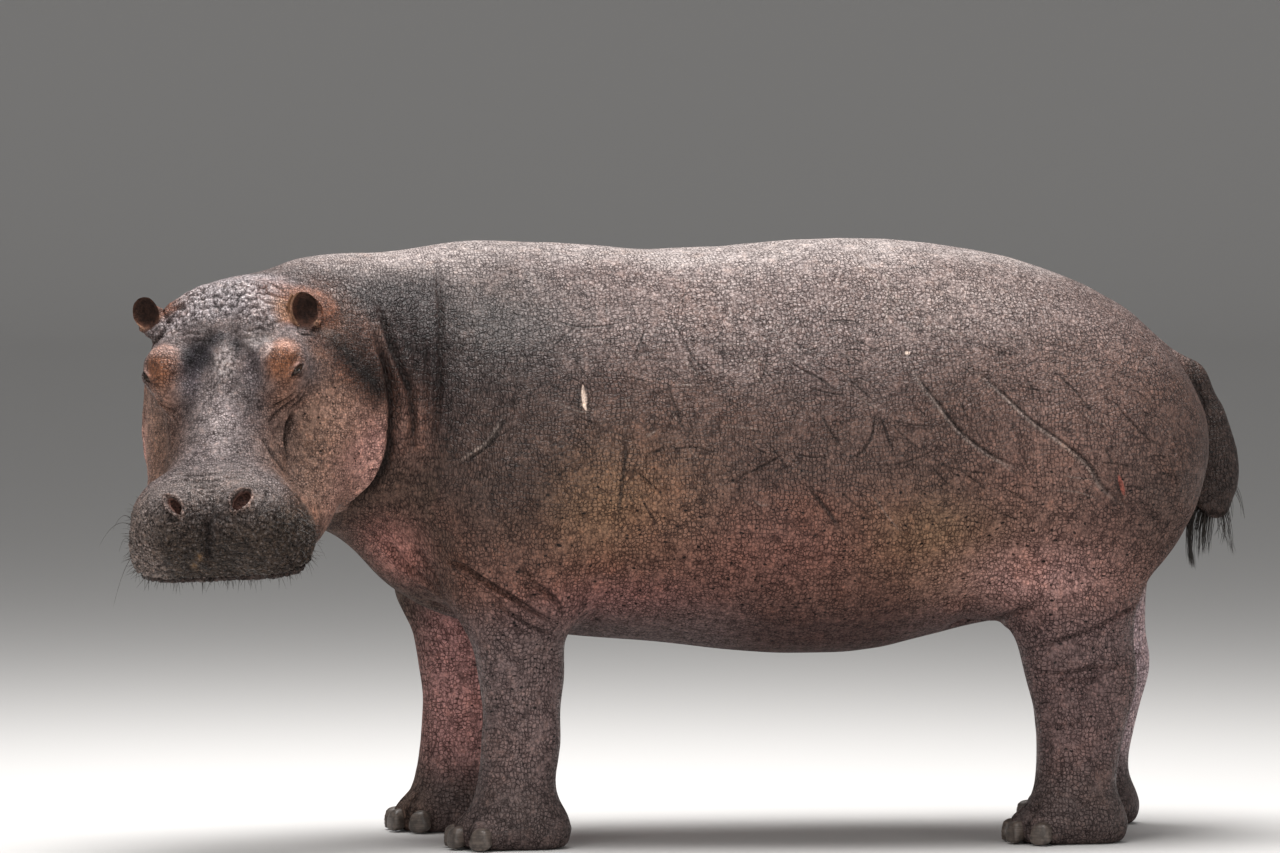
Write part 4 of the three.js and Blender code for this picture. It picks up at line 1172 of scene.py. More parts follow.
streak = spline([(-150, 232, -30), (-126, 262, -66), (-104, 292, -106), (-82, 322, -145), (-66, 345, -178)])
streak_gap = gap_to(streak, 0.2)
wash((0.118, 0.046, 0.028), 0.88 * hump(streak_gap, 0, 0.065))
band = spline([(-300, 206, -34), (-247, 246, -43), (-190, 283, -70), (-145, 312, -104), (-105, 338, -146)])
wash((0.050, 0.019, 0.012), 0.95 * hump(gap_to(band, 0.24), 0, 0.045) * (length < -1.04))
wash((0.010, 0.004, 0.003), 0.97 * hump(streak_gap, 0, 0.036))
wash((0.230, 0.098, 0.066), 0.88 * patch(head, (-0.266, 0.112, 0.023), (0.085, 0.060, 0.08), FIRM) * face)
blotched = 0.6 + 0.8 * swells(points, 0.035, 4.4)
for side in (1, -1):
    behind_ear = patch(head, (-0.215, side * 0.160, 0.020), (0.070, 0.075, 0.08))
    wash((0.170, 0.070, 0.046), 0.85 * behind_ear * blotched)
    wash((0.150, 0.085, 0.060), 0.7 * patch(head, (-0.190, side * 0.240, -0.040), (0.06, 0.05, 0.06)))

# %% [markdown]
# ### Muzzle, ears and lids
# The front of the muzzle is dark, its top grey and its right side paler. The masks kept while shaping now
# place the colours of the nostrils, ears and lids, and painted shade deep in the nostrils and in the
# hollows of the ears.

# %% Paint the muzzle, the ears and the lids
front = ramp(head[:, 0] + 0.5 * np.clip(-head[:, 2] - 0.05, 0, 0.1), 0.30, 0.42) * face
wash((0.072, 0.050, 0.037), front)
wash((0.033, 0.023, 0.017), 0.8 * front * patch(head, (0.476, -0.023, -0.100), (0.05, 0.040, 0.030)))
wash((0.300, 0.235, 0.205), 0.9 * front * ramp(-head[:, 1], 0.09, 0.16))
wash((0.215, 0.176, 0.166), 0.9 * ramp(head[:, 2], -0.060, 0.0) * hump(head[:, 0], 0.36, 0.085))
wash((0.080, 0.060, 0.055), 0.8 * patch(head, (0.44, 0.02, -0.01), (0.035, 0.045, 0.05)))
chin = (above_mouth(head) < -0.003) * ramp(head[:, 0], 0.22, 0.32) * face
wash((0.075, 0.050, 0.044), 0.8 * chin)
for centre in ((0.476, -0.026, -0.110), (0.476, -0.046, -0.146)):
    wash((0.230, 0.140, 0.070), 0.8 * front * patch(head, centre, (0.03, 0.008, 0.016)))
front_lip = ramp(head[:, 1], -0.055, -0.03) * (1 - ramp(head[:, 1], 0.12, 0.15))
front_lip *= in_muzzle * ramp(head[:, 0], 0.44, 0.46)
lip_edge = ramp(lip_gap, 0.0045, 0.0065) * (1 - ramp(lip_gap, 0.0085, 0.0115))
wash((0.520, 0.380, 0.320), 0.9 * front_lip * lip_edge)
wash((0.330, 0.225, 0.190), 0.85 * pale * face)
wash((0.300, 0.165, 0.135), ramp(nostril_hole, 0.25, 0.8))
# Painted shade deep in the nostrils.
wash((0.060, 0.028, 0.022), ramp(nostril_hole, 0.90, 1.0))
wash((0.215, 0.090, 0.054), 0.9 * ear_outside)
wash((0.050, 0.020, 0.012), ear_inside)
# Painted shade deep in the ear's hollow.
wash((0.010, 0.005, 0.004), 0.8 * ear_depth_shade)
wash((0.480, 0.270, 0.175), 0.9 * ear_rim)
wash((0.480, 0.300, 0.255), 0.85 * lid_pale)

# %% [markdown]
# ### Painted shade in creases, highlights, scars and wounds
# Last come the marks that lie over every patch: painted highlights on the pebble tops, painted shade in the
# creases, wrinkles, lid edges, mouth line and between pebbles, healed scars and the few open wounds.

# %% Paint the highlights, the shade in creases, the scars and the wounds
# Painted highlight on the pebble tops.
wash((0.600, 0.560, 0.570), 0.40 * pebble_highlight)
# Painted shade in creases, wrinkles, lid edges, the mouth line and between pebbles.
wash((0.016, 0.010, 0.009), 0.84 * shade)
wash((0.022, 0.018, 0.017), 0.85 * scar_dark)
wash((0.330, 0.280, 0.250), 0.60 * scar_pale)
wash((0.720, 0.570, 0.480), np.maximum(wound_mask["white"], wound_mask["white spot"]))
wash((0.300, 0.095, 0.070), wound_mask["raw"])


def keep_paint(mesh, tints):
    layer = mesh.color_attributes.new("paint", "FLOAT_COLOR", "POINT")
    layer.data.foreach_set("color", np.column_stack((tints, np.ones(len(tints)))).ravel())


keep_paint(net, paint)
print("painted", len(points), "points")

# %% [markdown]
# ### Masks for the material
# The material also has to know where it is: where the hide is ridged, pored, freckled or sheltered, and
# where dust and a painted sheen pale the top of the back. Each of these is one number per point.

# %% Keep the masks on the mesh
def keep_mask(name, values):
    layer = net.attributes.new(name, "FLOAT", "POINT")
    layer.data.foreach_set("value", np.clip(values, 0, 1).astype(np.float32))


bare = np.maximum.reduce((ear_inside, nostril_hole, wound_mask["white"], wound_mask["raw"], lid_pale))
pored = ramp(height, 0.12, 0.25) * (1 - ramp(height, 0.90, 1.12))
under_chest = ramp(-length, 0.80, 0.95) * (1 - ramp(height, 0.80, 1.0))
shoulder = patch(mirrored_body, (0.30, -0.90, 1.30), (0.40, 0.24, 0.26))
masks = {
    "crackled": 1 - 0.85 * bare,
    "ridged": np.maximum(neck, 0.8 * patch(mirrored_body, (0.42, -0.86, 1.1), (0.4, 0.14, 0.4))),
    "pored": (1 - in_head) * pored * ramp(length, -0.95, -0.8),
    "freckled": face * side_of_face,
    "stippled": front,
    "on_face": face,
    "hollow": np.maximum(ear_inside, nostril_hole),
    "sheltered": np.maximum(ramp(-normals[:, 2], 0.1, 0.5), under_chest) * (1 - face),
    # Dust on the top of the back, together with a painted sheen of the light from above.
    "dust_and_painted_sheen": ramp(height + uneven, 1.12, 1.40) * (1 - face) * (1 - 0.8 * shoulder),
}
for name, values in masks.items():
    keep_mask(name, values)
print("masks:", ", ".join(masks))

# %% [markdown]
# ## The skin's grain
# Bare hippopotamus hide is crazed all over by fine wrinkles into lozenges: here nine to twelve
# millimetres across on the body, seven on the face, longer and upright on the neck. Voronoi
# cells give just such a net. Their borders darken the colour and sink in the bump. Dark pores
# are scattered low on the flank. Three sizes of noise break up the painted patches so that no
# area is one flat colour.
#
# A material is a tree of nodes, and each node takes several commands to add and join. The class
# below shortens them: a Recipe holds one material, and each of its helpers adds one node and
# returns that node's output.

# %% Helpers for node trees
class Recipe:
    def __init__(self, name):
        self.material = bpy.data.materials.new(name)
        self.material.use_nodes = True
        self.tree = self.material.node_tree
        self.shader = self.tree.nodes["Principled BSDF"]

    def put(self, value, socket):
        if isinstance(value, bpy.types.NodeSocket):
            self.tree.links.new(value, socket)
        elif value is not None:
            socket.default_value = value

    def node(self, kind, settings=(), **inputs):
        node = self.tree.nodes.new(kind)
        for key, value in dict(settings).items():
            setattr(node, key, value)
        for key, value in inputs.items():
            self.put(value, node.inputs[key.replace("_", " ")])
        return node

    def sum(self, operation, a, b=None):
        node = self.node("ShaderNodeMath", {"operation": operation})
        self.put(a, node.inputs[0])
        self.put(b, node.inputs[1])
        return node.outputs[0]

    def times(self, a, b):
        return self.sum("MULTIPLY", a, b)

    def plus(self, a, b):
        return self.sum("ADD", a, b)

    def less(self, a, b):
        return self.sum("SUBTRACT", a, b)

    def vector(self, operation, *values):
        node = self.node("ShaderNodeVectorMath", {"operation": operation})
        for socket, value in zip(node.inputs, values):
            self.put(value, socket)
        return node.outputs[0]

    def blend(self, amount, a, b, mode="MIX"):
        node = self.node("ShaderNodeMix", {"data_type": "RGBA", "blend_type": mode})
        for socket, value in zip((0, 6, 7), (amount, a, b)):
            self.put(value, node.inputs[socket])
        return node.outputs[2]

    def tinted(self, amount, colour, tint):
        return self.blend(amount, colour, tint + (1,), "MULTIPLY")

    def between(self, value, low, high, out_low=0.0, out_high=1.0):
        node = self.node("ShaderNodeMapRange", {"interpolation_type": "SMOOTHSTEP"}, Value=value,
                         From_Min=low, From_Max=high, To_Min=out_low, To_Max=out_high)
        return node.outputs[0]

    def noise(self, places, scale, detail=3.0, roughness=0.55):
        return self.node("ShaderNodeTexNoise", Vector=places, Scale=scale, Detail=detail,
                         Roughness=roughness).outputs["Fac"]

    def mask(self, name, output="Fac"):
        return self.node("ShaderNodeAttribute", {"attribute_name": name}).outputs[output]

    def places(self):
        return self.node("ShaderNodeTexCoord").outputs["Object"]

    def give(self, **inputs):
        for key, value in inputs.items():
            self.put(value, self.shader.inputs[key.replace("_", " ")])

    def bump(self, height, distance, strength=1.0, under=None):
        return self.node("ShaderNodeBump", Height=height, Distance=distance, Strength=strength,
                         Normal=under).outputs["Normal"]


# %% [markdown]
# ### Cells of several sizes
# The net of cracks and the spots are both Voronoi cells. Their size depends on the part of the
# body, so the places are multiplied by a scale that the masks choose. A little noise frays the
# border between two scales, and bends every place so that no row is straight.

# %% Helpers that lay cells on the hide
def bent_places(r, where):
    drift = r.node("ShaderNodeTexNoise", Vector=where, Scale=14.0, Detail=1.0).outputs["Color"]
    return r.vector("MULTIPLY_ADD", drift, (0.030, 0.030, 0.030), where)


def scaled_places(r, places, ragged, scale, others):
    for name, other in others:
        mix = r.node("ShaderNodeMix", {"data_type": "VECTOR"})
        here = r.sum("GREATER_THAN", r.plus(r.mask(name), ragged), 0.5)
        for socket, value in zip((0, 4, 5), (here, scale, other)):
            r.put(value, mix.inputs[socket])
        scale = mix.outputs[1]
    return r.vector("MULTIPLY", places, scale)


def cracks(r, where, bent, ragged):
    scales = (("ridged", (90.0, 140.0, 52.0)), ("on_face", (150.0, 150.0, 150.0)))
    places = scaled_places(r, bent, ragged, (84.0, 108.0, 90.0), scales)
    feature = {"feature": "DISTANCE_TO_EDGE"}
    cell = r.node("ShaderNodeTexVoronoi", feature, Vector=places, Scale=1.0, Randomness=0.60)
    strength = r.between(r.noise(where, 21.0, 2.0), 0.28, 0.60, 0.30, 1.0)
    cracked = r.between(cell.outputs["Distance"], 0.0, 0.15, 1.0, 0.0)
    return r.times(r.times(cracked, r.mask("crackled")), strength)


def spots(r, bent, ragged):
    scales = (("on_face", (60.0, 60.0, 60.0)), ("stippled", (105.0, 105.0, 105.0)))
    places = scaled_places(r, bent, ragged, (34.0, 36.0, 52.0), scales)
    spot = r.node("ShaderNodeTexVoronoi", {"feature": "F1"}, Vector=places, Scale=1.0, Randomness=0.9)
    some = r.between(spot.outputs["Color"], 0.22, 0.36)
    dot = r.times(r.between(spot.outputs["Distance"], 0.11, 0.20, 1.0, 0.0), some)
    dots = r.times(dot, r.sum("MAXIMUM", r.mask("pored"), r.mask("freckled")))
    pits = r.times(r.between(spot.outputs["Distance"], 0.17, 0.40, 1.0, 0.0), r.mask("stippled"))
    return dots, pits


# %% [markdown]
# ### Mix the hide
# The painted colour is broken up by noise of three sizes, each once darker and once paler. Then cracks,
# rills, pores and pits darken it, and dust with a painted sheen pales the back. The same patterns set how
# rough the hide is and how high its relief stands, in millimetres.

# %% Mix the hide
def hide():
    r = Recipe("hippo_hide")
    where = r.places()
    bent = bent_places(r, where)
    ragged = r.between(r.noise(where, 30.0, 1.0), 0.3, 0.7, -0.15, 0.15)
    cracked = cracks(r, where, bent, ragged)
    dots, pits = spots(r, bent, ragged)
    rills = r.sum("ABSOLUTE", r.less(r.noise(bent, 22.0, 2.0, 0.5), 0.5))
    rills = r.times(r.between(rills, 0.0, 0.018, 1.0, 0.0), r.mask("crackled"))
    cloud = r.noise(where, 5.5, 3.0, 0.6)
    mottle = r.noise(where, 42.0, 3.0, 0.65)
    grain = r.noise(where, 110.0, 3.0, 0.65)

    colour = r.mask("paint", "Color")
    colour = r.tinted(r.between(cloud, 0.52, 0.72, 0.0, 0.45), colour, (0.66, 0.60, 0.62))
    colour = r.tinted(r.between(cloud, 0.28, 0.46, 0.50, 0.0), colour, (1.22, 1.06, 0.96))
    colour = r.tinted(r.between(mottle, 0.49, 0.66, 0.0, 0.70), colour, (0.58, 0.54, 0.54))
    colour = r.tinted(r.between(mottle, 0.32, 0.48, 0.60, 0.0), colour, (1.30, 1.20, 1.12))
    colour = r.tinted(r.between(grain, 0.47, 0.62, 0.0, 0.75), colour, (0.40, 0.36, 0.36))
    colour = r.tinted(r.between(grain, 0.32, 0.46, 0.80, 0.0), colour, (1.55, 1.46, 1.42))
    colour = r.tinted(r.times(cracked, 0.72), colour, (0.16, 0.12, 0.12))
    colour = r.tinted(r.times(rills, 0.35), colour, (0.20, 0.17, 0.17))
    colour = r.tinted(r.times(dots, 0.95), colour, (0.05, 0.04, 0.04))
    colour = r.tinted(r.times(pits, 0.90), colour, (0.12, 0.10, 0.09))
    # Dust on the top of the back, with a painted sheen of the light from above.
    dust_and_sheen = r.times(r.mask("dust_and_painted_sheen"), r.between(grain, 0.50, 0.34))
    colour = r.blend(r.times(dust_and_sheen, 0.35), colour, (0.46, 0.42, 0.41, 1))

    rough = r.plus(r.between(mottle, 0.3, 0.7, 0.33, 0.50), r.times(cracked, 0.15))
    rough = r.plus(rough, r.times(r.mask("hollow"), 0.50))
    rough = r.plus(rough, r.times(r.mask("sheltered"), 0.45))
    relief = r.times(grain, r.plus(6.0, r.times(r.mask("stippled"), 5.0)))
    relief = r.less(relief, r.times(pits, 3.2))
    relief = r.plus(relief, r.times(mottle, r.times(r.mask("stippled"), 14.0)))
    relief = r.less(relief, r.times(cracked, 3.2))
    relief = r.less(relief, r.times(rills, 1.5))
    r.give(Base_Color=colour, Roughness=rough, Specular_IOR_Level=0.27, Normal=r.bump(relief, 0.001))
    return r.material


net.materials.clear()
net.materials.append(hide())
print("hide mixed")

# %% [markdown]
# ## Eyes
# The eye is a ball with a slightly steeper window in front, the cornea, which catches a small
# bright light. The iris is dark brown, and the pupil a slit that lies level. Both are painted on
# the ball by angle from the line of sight, under a clear wet coat.

# %% Mix the wet eye
def eye_material():
    r = Recipe("wet_eye")
    fibres = r.between(r.noise(r.places(), 900.0, 3.0), 0.35, 0.65, 0.75, 1.25)
    colour = r.blend(1.0, r.mask("paint", "Color"), fibres, "MULTIPLY")
    r.give(Base_Color=colour, Roughness=0.22, Specular_IOR_Level=0.25)
    r.give(Coat_Weight=0.45, Coat_Roughness=0.02)
    return r.material


# %% Build the two eyeballs
WHITE, IRIS, PUPIL = (0.060, 0.038, 0.030), (0.030, 0.013, 0.006), (0.002, 0.002, 0.002)
CORNEA_RISE = 0.035
wet_eye = eye_material()
for name, side in (("eye_left", 1), ("eye_right", -1)):
    work = bmesh.new()
    bmesh.ops.create_uvsphere(work, u_segments=72, v_segments=48, radius=1.0)
    mesh = mesh_from(work, name + "_ball")
    rays, _ = arrays_of(mesh)
    angle = np.degrees(np.arccos(np.clip(rays[:, 2], -1, 1)))
    radius = (EYE_RADIUS - 0.0005) * (1 + CORNEA_RISE * (1 - ramp(angle, 10, 36)))
    level_pupil = np.hypot(rays[:, 0] / 0.26, rays[:, 1] / 0.10)
    tint = np.full((len(rays), 3), WHITE)
    tint += (1 - ramp(angle, 38, 44))[:, None] * (np.array(IRIS) - tint)
    tint += (1 - ramp(level_pupil, 0.8, 1.1))[:, None] * (np.array(PUPIL) - tint)
    keep_paint(mesh, tint)
    gaze, slit, brow = eye_axes(side)
    axes = np.stack((slit, brow, gaze), axis=1)
    if np.linalg.det(axes) < 0:
        axes[:, 0] *= -1
    place = from_head((rays * radius[:, None]) @ axes.T + on_side(EYE, side))
    mesh.vertices.foreach_set("co", place.ravel())
    mesh.update()
    mesh.shade_smooth()
    mesh.materials.append(wet_eye)
    eye = add(name + "_ball", mesh)
    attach(eye, "root")
    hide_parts(name)
print("eyes placed")

# %% [markdown]
# ## Nails
# Each foot spreads on four toes, and each toe ends in a blunt nail like a small hoof. A plain
# nail is first subdivided and smoothed. Then each of its points moves out to a form between a
# ball and a box, narrow at the top, cut off in front, with low growth rings across it.

# %% Mix the horn and shape a nail
def horn():
    r = Recipe("nail_horn")
    where = r.places()
    rings = r.noise(r.vector("MULTIPLY", where, (8.0, 8.0, 320.0)), 1.0, 3.0)
    grime = r.noise(where, 60.0, 3.0)
    colour = r.blend(r.between(rings, 0.35, 0.65), (0.070, 0.053, 0.044, 1), (0.125, 0.098, 0.082, 1))
    colour = r.blend(r.between(grime, 0.42, 0.62, 0.0, 0.75), colour, (0.035, 0.027, 0.023, 1))
    r.give(Base_Color=colour, Roughness=0.42, Normal=r.bump(rings, 0.0012, 0.8, r.bump(grime, 0.001)))
    return r.material


BOXINESS = 3.4


def hoof_shaped(place):
    centre = (place.min(axis=0) + place.max(axis=0)) / 2
    away = place - centre
    _, ways = np.linalg.eigh(np.cov(away[:, :2].T))
    outward = ways[:, 0] * -np.sign(ways[1, 0])
    across = np.array((-outward[1], outward[0]))
    local = np.column_stack((away[:, :2] @ across, away[:, :2] @ outward, away[:, 2]))
    size = np.abs(local).max(axis=0)
    p = local / size
    boxy = (np.abs(p) ** BOXINESS).sum(axis=1) ** (1 / BOXINESS)
    p *= (np.linalg.norm(p, axis=1) / (boxy + 1e-9))[:, None] * 0.98
    p[:, 0] *= 1 - 0.20 * np.clip(p[:, 2], -0.4, 1)
    p[:, 1] = np.clip(p[:, 1], -1, 0.8) - 0.28 * np.clip(p[:, 2], 0, 1) - 0.10 * p[:, 0] ** 2
    p *= size
    return centre + np.column_stack((p[:, :1] * across + p[:, 1:2] * outward, p[:, 2]))


# %% Grow the sixteen nails
RINGS = 34.0
ALL_AXES = {"use_axis_x": True, "use_axis_y": True, "use_axis_z": True}
nail_horn = horn()
nail_nodes = sorted(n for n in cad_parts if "nail" in n)
for node in nail_nodes:
    work = welded(node)
    bmesh.ops.subdivide_edges(work, edges=work.edges, cuts=3, use_grid_fill=True, smooth=0.6)
    for _ in range(4):
        bmesh.ops.smooth_vert(work, verts=work.verts, factor=0.5, **ALL_AXES)
    work.normal_update()
    low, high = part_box(node)
    place = hoof_shaped(np.array([v.co for v in work.verts]))
    for v, p in zip(work.verts, place):
        t = (p[2] - low[2]) / (high[2] - low[2])
        v.co = Vector(p) + v.normal * (0.0004 + 0.0006 * math.sin(t * RINGS))
        v.co.z = max(v.co.z, low[2])
    mesh = mesh_from(work, node + "_horn")
    mesh.shade_smooth()
    mesh.materials.append(nail_horn)
    nail = add(node + "_horn", mesh)
    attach(nail, "root")
    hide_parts(node)
print("nails:", len(nail_nodes))

# %% [markdown]
# ## Bristles
# A hippopotamus is all but naked. What hair it has is stiff bristle: short tufts round the lips,
# a few long whiskers, a fringe on the ears, and wet black locks along the end of the tail. Each
# hair is a thin tapering rod of real mesh with three sides, laid along a curved path.

# %% A helper that grows one rod
SIDES = 3
TAPER = 0.75
HELPER_WAY = (0.31, 0.17, 0.93)


def rod(path, radius, points_out, faces_out):
    path = np.asarray(path)
    run = np.gradient(path, axis=0)
    run /= np.linalg.norm(run, axis=1)[:, None] + 1e-9
    across = np.cross(run, HELPER_WAY)
    across /= np.linalg.norm(across, axis=1)[:, None] + 1e-9
    other = np.cross(run, across)
    start = len(points_out)
    rings = len(path) - 1
    for i in range(rings):
        r = radius * (1 - TAPER * i / rings)
        for k in range(SIDES):
            a = 2 * math.pi * k / SIDES
            points_out.append(path[i] + r * (across[i] * math.cos(a) + other[i] * math.sin(a)))
    points_out.append(path[-1])
    faces_out.append(tuple(start + k for k in reversed(range(SIDES))))
    for i in range(rings):
        first = start + SIDES * i
        for k in range(SIDES):
            a, b = first + k, first + (k + 1) % SIDES
            end = (b + SIDES, a + SIDES) if i < rings - 1 else (start + SIDES * rings,)
            faces_out.append((a, b) + end)


# %% [markdown]
# ### A piece of many rods
# Each rod also gets a tiny patch on a map called OFBake, at its root's place on an unwrap of
# the skin: the animal is unrolled round its own long axis.

# %% Helpers that make a piece out of rods
AXIS_HEIGHT = 0.95
PATCH_WIDTH = 0.003


def unrolled(place):
    x, y, z = to_body(place)
    return 0.5 + math.atan2(x, z - AXIS_HEIGHT) / (2 * math.pi), (y + 2.2) / 3.6


def object_from(name, points, faces):
    mesh = bpy.data.meshes.new(name)
    mesh.from_pydata([tuple(p) for p in points], [], faces)
    mesh.update()
    return add(name, mesh)


def bristle_piece(name, rods, material, replaced=()):
    out_points, out_faces, uv = [], [], []
    for path, radius in rods:
        rod(path, radius, out_points, out_faces)
        u, v = unrolled(path[0])
        steps = len(path)
        for t in [i / steps for i in range(steps - 1) for _ in range(SIDES)] + [1.0]:
            uv.append((u + PATCH_WIDTH / 2 * (len(uv) % 3 - 1), v + PATCH_WIDTH * (t - 0.5)))
    piece = object_from(name, out_points, out_faces)
    mesh = piece.data
    mesh.shade_smooth()
    mesh.materials.append(material)
    layer = mesh.uv_layers.new(name="OFBake")
    loops = np.empty(len(mesh.loops), dtype=np.int64)
    mesh.loops.foreach_get("vertex_index", loops)
    layer.data.foreach_set("uv", np.array(uv)[loops].ravel())
    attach(piece, "root")
    if replaced:
        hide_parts(*replaced)
    print(name, len(rods), "hairs,", len(out_faces), "faces")


# %% Helpers that bend a hair and colour it
DOWN = np.array((0, 0, -1.0))
surface = surface_of(net)


def choose(where, count):
    chosen = np.flatnonzero(where)
    return RANDOM.choice(chosen, min(count, len(chosen)), replace=False)


def bent(root, way, sag, length, steps):
    t = np.linspace(0, 1, steps)[:, None]
    return root + unit(way) * length * t + np.asarray(sag) * length * t**2


def grown(i, way, sag, length, steps, sunk):
    return bent(points[i] - sunk * normals[i], way, sag * DOWN, length, steps)


def hair_material(name, root_colour, tip_colour, roughness):
    r = Recipe(name)
    mix = r.between(r.noise(r.places(), 160.0, 2.0), 0.35, 0.65)
    r.give(Base_Color=r.blend(mix, root_colour, tip_colour), Roughness=roughness)
    return r.material


black_bristle = hair_material("black_bristle", (0.010, 0.008, 0.007, 1), (0.035, 0.026, 0.020, 1), 0.35)
rust_fringe = hair_material("rust_fringe", (0.110, 0.048, 0.024, 1), (0.300, 0.150, 0.080, 1), 0.55)

# %% [markdown]
# ### Lips
# Roots are picked from the skin's own points, so every hair grows out of the surface along its normal, then
# bends. Eight whiskers, four to a side, are listed and hang in a curve.

# %% Grow the bristles of the lips
LIP_HAIR, CHEEK_HAIR, WHISKER = 0.00075, 0.0007, 0.0009
WHISKERS = (
    (0.40, 0.215, -0.08, 0.100),
    (0.42, 0.218, -0.11, 0.085),
    (0.38, 0.216, -0.07, 0.085),
    (0.44, 0.210, -0.15, 0.070),
)
head = to_head(points)
lips = []
on_muzzle = (to_body(points)[:, 1] < -1.15) & (np.abs(head[:, 1]) < 0.27) & (head[:, 2] > -0.32)
lip_zone = on_muzzle & (head[:, 0] > 0.36) & (above_mouth(head) > -0.060) & (above_mouth(head) < 0.030)
side_zone = on_muzzle & (head[:, 0] > 0.33) & (np.abs(head[:, 1]) > 0.17) & (head[:, 2] < -0.04)
print("lip zones:", lip_zone.sum(), side_zone.sum())
for i in choose(lip_zone, 260):
    way = normals[i] + RANDOM.normal(0, 0.22, 3) + 0.25 * DOWN
    lips.append((grown(i, way, 0.18, RANDOM.uniform(0.010, 0.034), 5, 0.002), LIP_HAIR))
for i in choose(side_zone, 150):
    way = normals[i] + RANDOM.normal(0, 0.25, 3)
    lips.append((grown(i, way, 0.10, RANDOM.uniform(0.014, 0.036), 5, 0.002), CHEEK_HAIR))
for side in (1, -1):
    for u, v, w, size in WHISKERS:
        spot, normal, _, _ = surface.find_nearest(Vector(from_head((u, side * v, w))))
        way = 0.8 * np.array(normal) - 0.35 * DOWN + RANDOM.normal(0, 0.1, 3)
        lips.append((bent(np.array(spot), way, 1.10 * DOWN, size, 12), WHISKER))
bristle_piece("lip_bristles", lips, black_bristle)

# %% [markdown]
# ### Ears
# A rusty fringe stands all round the rim of each ear, pointing outwards, and hairs of the same
# kind line the hollow.

# %% Grow the fringe of the ears
FRINGE_HAIR = 0.0004
fringe = []
rim = (ear_outside > 0.6) & (ear_inside > 0.15) & (ear_inside < 0.85)
for i in choose(rim, 700):
    away = unit(points[i] - EAR_TIPS[0 if head[i, 1] > 0 else 1])
    way = 0.5 * normals[i] + away + RANDOM.normal(0, 0.25, 3)
    fringe.append((grown(i, way, 0.1, RANDOM.uniform(0.006, 0.013), 4, 0.001), FRINGE_HAIR))
for i in choose(ear_inside > 0.9, 260):
    way = normals[i] + RANDOM.normal(0, 0.4, 3)
    fringe.append((grown(i, way, 0.2, RANDOM.uniform(0.006, 0.012), 4, 0.001), FRINGE_HAIR))
bristle_piece("ear_fringe", fringe, rust_fringe)

# %% [markdown]
# ### Tail
# The tail's hair is wet, so it hangs in locks: many roots close together, whose hairs all end
# near one tip. Long locks hang from the front edge, short ones from the rear edge and below.

# %% A helper that grows one lock
LOCK_HAIR = 0.0008
locks = []


def lock(i, count, size, spread, pull):
    tip = points[i] + unit(0.5 * normals[i] + 1.2 * DOWN + pull) * size
    for _ in range(count):
        spot, normal, _, _ = surface.find_nearest(Vector(points[i] + RANDOM.normal(0, 0.006, 3)))
        root, normal = np.array(spot), np.array(normal)
        end = tip + RANDOM.normal(0, spread, 3)
        t = np.linspace(0, 1, 9)[:, None]
        belly = root + 0.45 * size * (0.45 * normal + 0.55 * DOWN)
        path = (1 - t) ** 2 * root + 2 * t * (1 - t) * belly + t**2 * end
        locks.append((path, LOCK_HAIR))


# %% Grow the locks of the tail
x, y, z = to_body(points).T
tail_zone = (y > 0.98) & (np.abs(x) < 0.09) & (z < 0.90)
front_edge = tail_zone & (normals[:, 1] < -0.2)
rear_edge = tail_zone & (normals[:, 1] > 0.1)
under = tail_zone & (normals[:, 2] < -0.5)
for i in choose(front_edge & (z < 0.860), 2):
    lock(i, 60, 0.165, 0.004, np.array((0, 0.42, 0)))
for i in choose(front_edge & (z < 0.880), 2):
    lock(i, 22, 0.105, 0.003, np.array((0, 0.10, 0)))
for i in choose(under, 6):
    lock(i, 14, RANDOM.uniform(0.08, 0.115), 0.005, np.array((0, 0.10, 0)))
for i in choose(rear_edge & (z < 0.875), 9):
    lock(i, 5, RANDOM.uniform(0.05, 0.085), 0.006, np.array((0, -0.15, 0)))
bristle_piece("tail_locks", locks, black_bristle, ("tail_tuft",))

# %% [markdown]
# ## The studio
# The camera stands well back with a long lens, so that the animal is drawn without distortion.
# It is aimed by two angles, a distance and a place to look at.

# %% Aim the camera
TO_CAMERA = (math.radians(82), math.radians(2))
DISTANCE = 25.0
AIM = from_body((0.0, -0.404, 1.029))


def direction(azimuth, elevation):
    return np.array((
        math.sin(azimuth) * math.cos(elevation),
        -math.cos(azimuth) * math.cos(elevation),
        math.sin(elevation),
    ))


def look(obj, place, at):
    obj.location = Vector(place)
    obj.rotation_euler = (Vector(at) - Vector(place)).to_track_quat("-Z", "Y").to_euler()


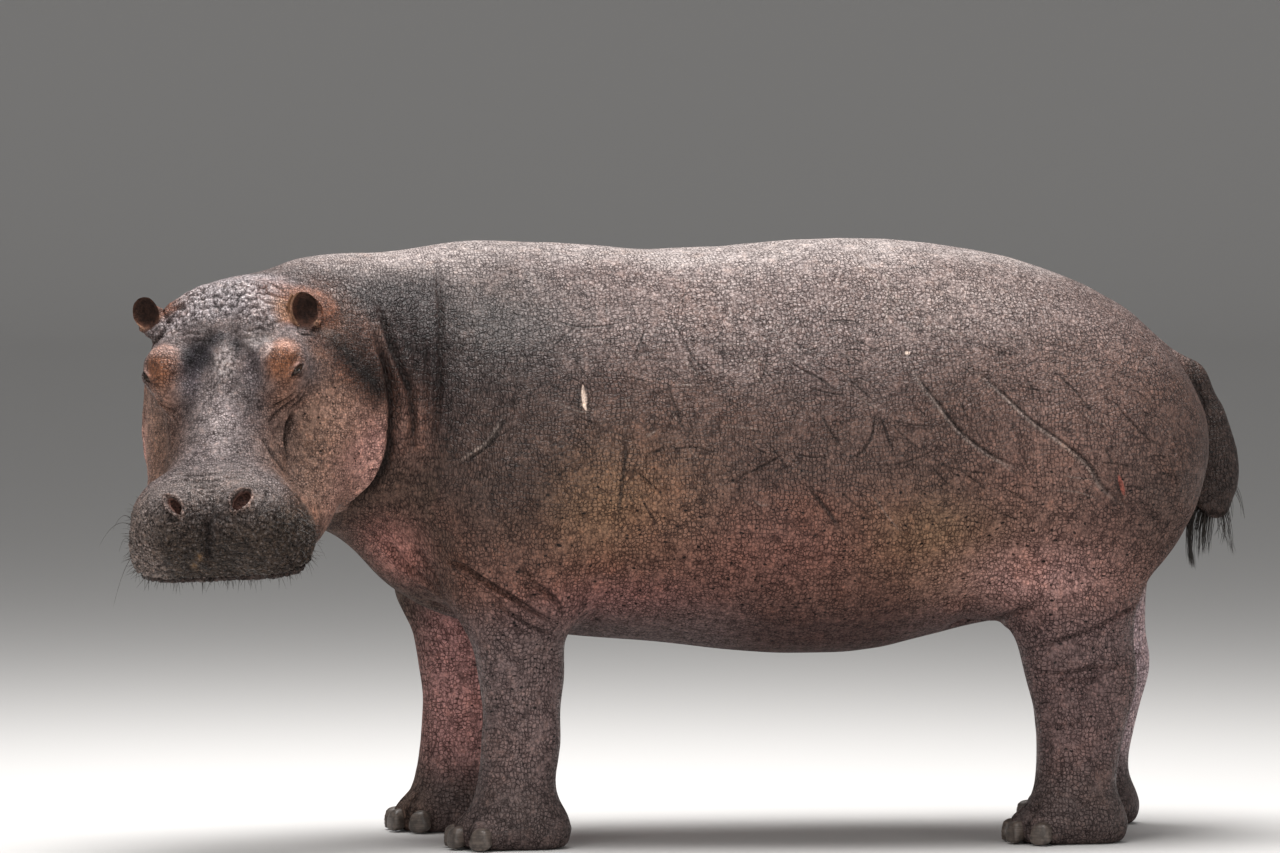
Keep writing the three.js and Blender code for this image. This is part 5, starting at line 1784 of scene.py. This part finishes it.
camera = add("camera", bpy.data.cameras.new("camera"))
camera.data.sensor_width = 36
camera.data.lens = 281.25
camera.data.clip_end = 200
look(camera, AIM + DISTANCE * direction(*TO_CAMERA), AIM)
bpy.context.scene.camera = camera
print("camera at", [round(c, 2) for c in camera.location])

# %% [markdown]
# ### Paper
# A pale sweep of paper rises behind the animal, so no edge of the floor shows. It turns up far
# away, because a camera that walks round the animal must always stand in front of it.

# %% Lay the paper
def sweep(front, rise, height, radius, steps=24):
    profile = [(front, 0.0), (rise, 0.0)]
    for i in range(1, steps + 1):
        a = math.pi / 2 * i / steps
        profile.append((rise + radius * math.sin(a), radius - radius * math.cos(a)))
    profile.append((rise + radius, height))
    return profile


PAPER_HALF_WIDTH = 120
profile = sweep(-60, 46, 120, 8)
back_way = -direction(TO_CAMERA[0], 0)
side_way = np.array((-back_way[1], back_way[0], 0))
floor_points = [
    back_way * d + side_way * s + np.array((0, 0, h))
    for d, h in profile
    for s in (-PAPER_HALF_WIDTH, PAPER_HALF_WIDTH)
]
floor_faces = [(2 * i, 2 * i + 1, 2 * i + 3, 2 * i + 2) for i in range(len(profile) - 1)]
floor = object_from("floor", floor_points, floor_faces)
floor.data.shade_smooth()
paper = Recipe("pale_paper")
paper.give(Base_Color=(0.56, 0.555, 0.55, 1), Roughness=0.9)
floor.data.materials.append(paper.material)

# %% [markdown]
# ### Light
# A broad soft light from above does what an overcast sky does. Two weaker ones in front open the
# shadows, and the room itself glows a little.

# %% Hang the lights
def softbox(name, place, size, power, colour):
    light = bpy.data.lights.new(name, "AREA")
    light.shape = "SQUARE"
    light.size = size
    light.energy = power
    light.color = colour
    look(add(name, light), place, (0, 0, 0.9))


softbox("sky", (-0.3, -0.4, 6.6), 5.5, 1000, (1.0, 0.985, 0.97))
softbox("front", (9.0, -5.0, 3.6), 5.0, 300, (1.0, 0.97, 0.93))
softbox("low fill", (8.0, 5.0, 1.6), 3.0, 120, (1.0, 0.96, 0.92))
world = bpy.data.worlds.new("studio")
world.use_nodes = True
background = world.node_tree.nodes["Background"].inputs
background["Color"].default_value = (0.92, 0.91, 0.90, 1)
background["Strength"].default_value = 0.38
bpy.context.scene.world = world
bpy.context.scene.view_settings.view_transform = "Standard"
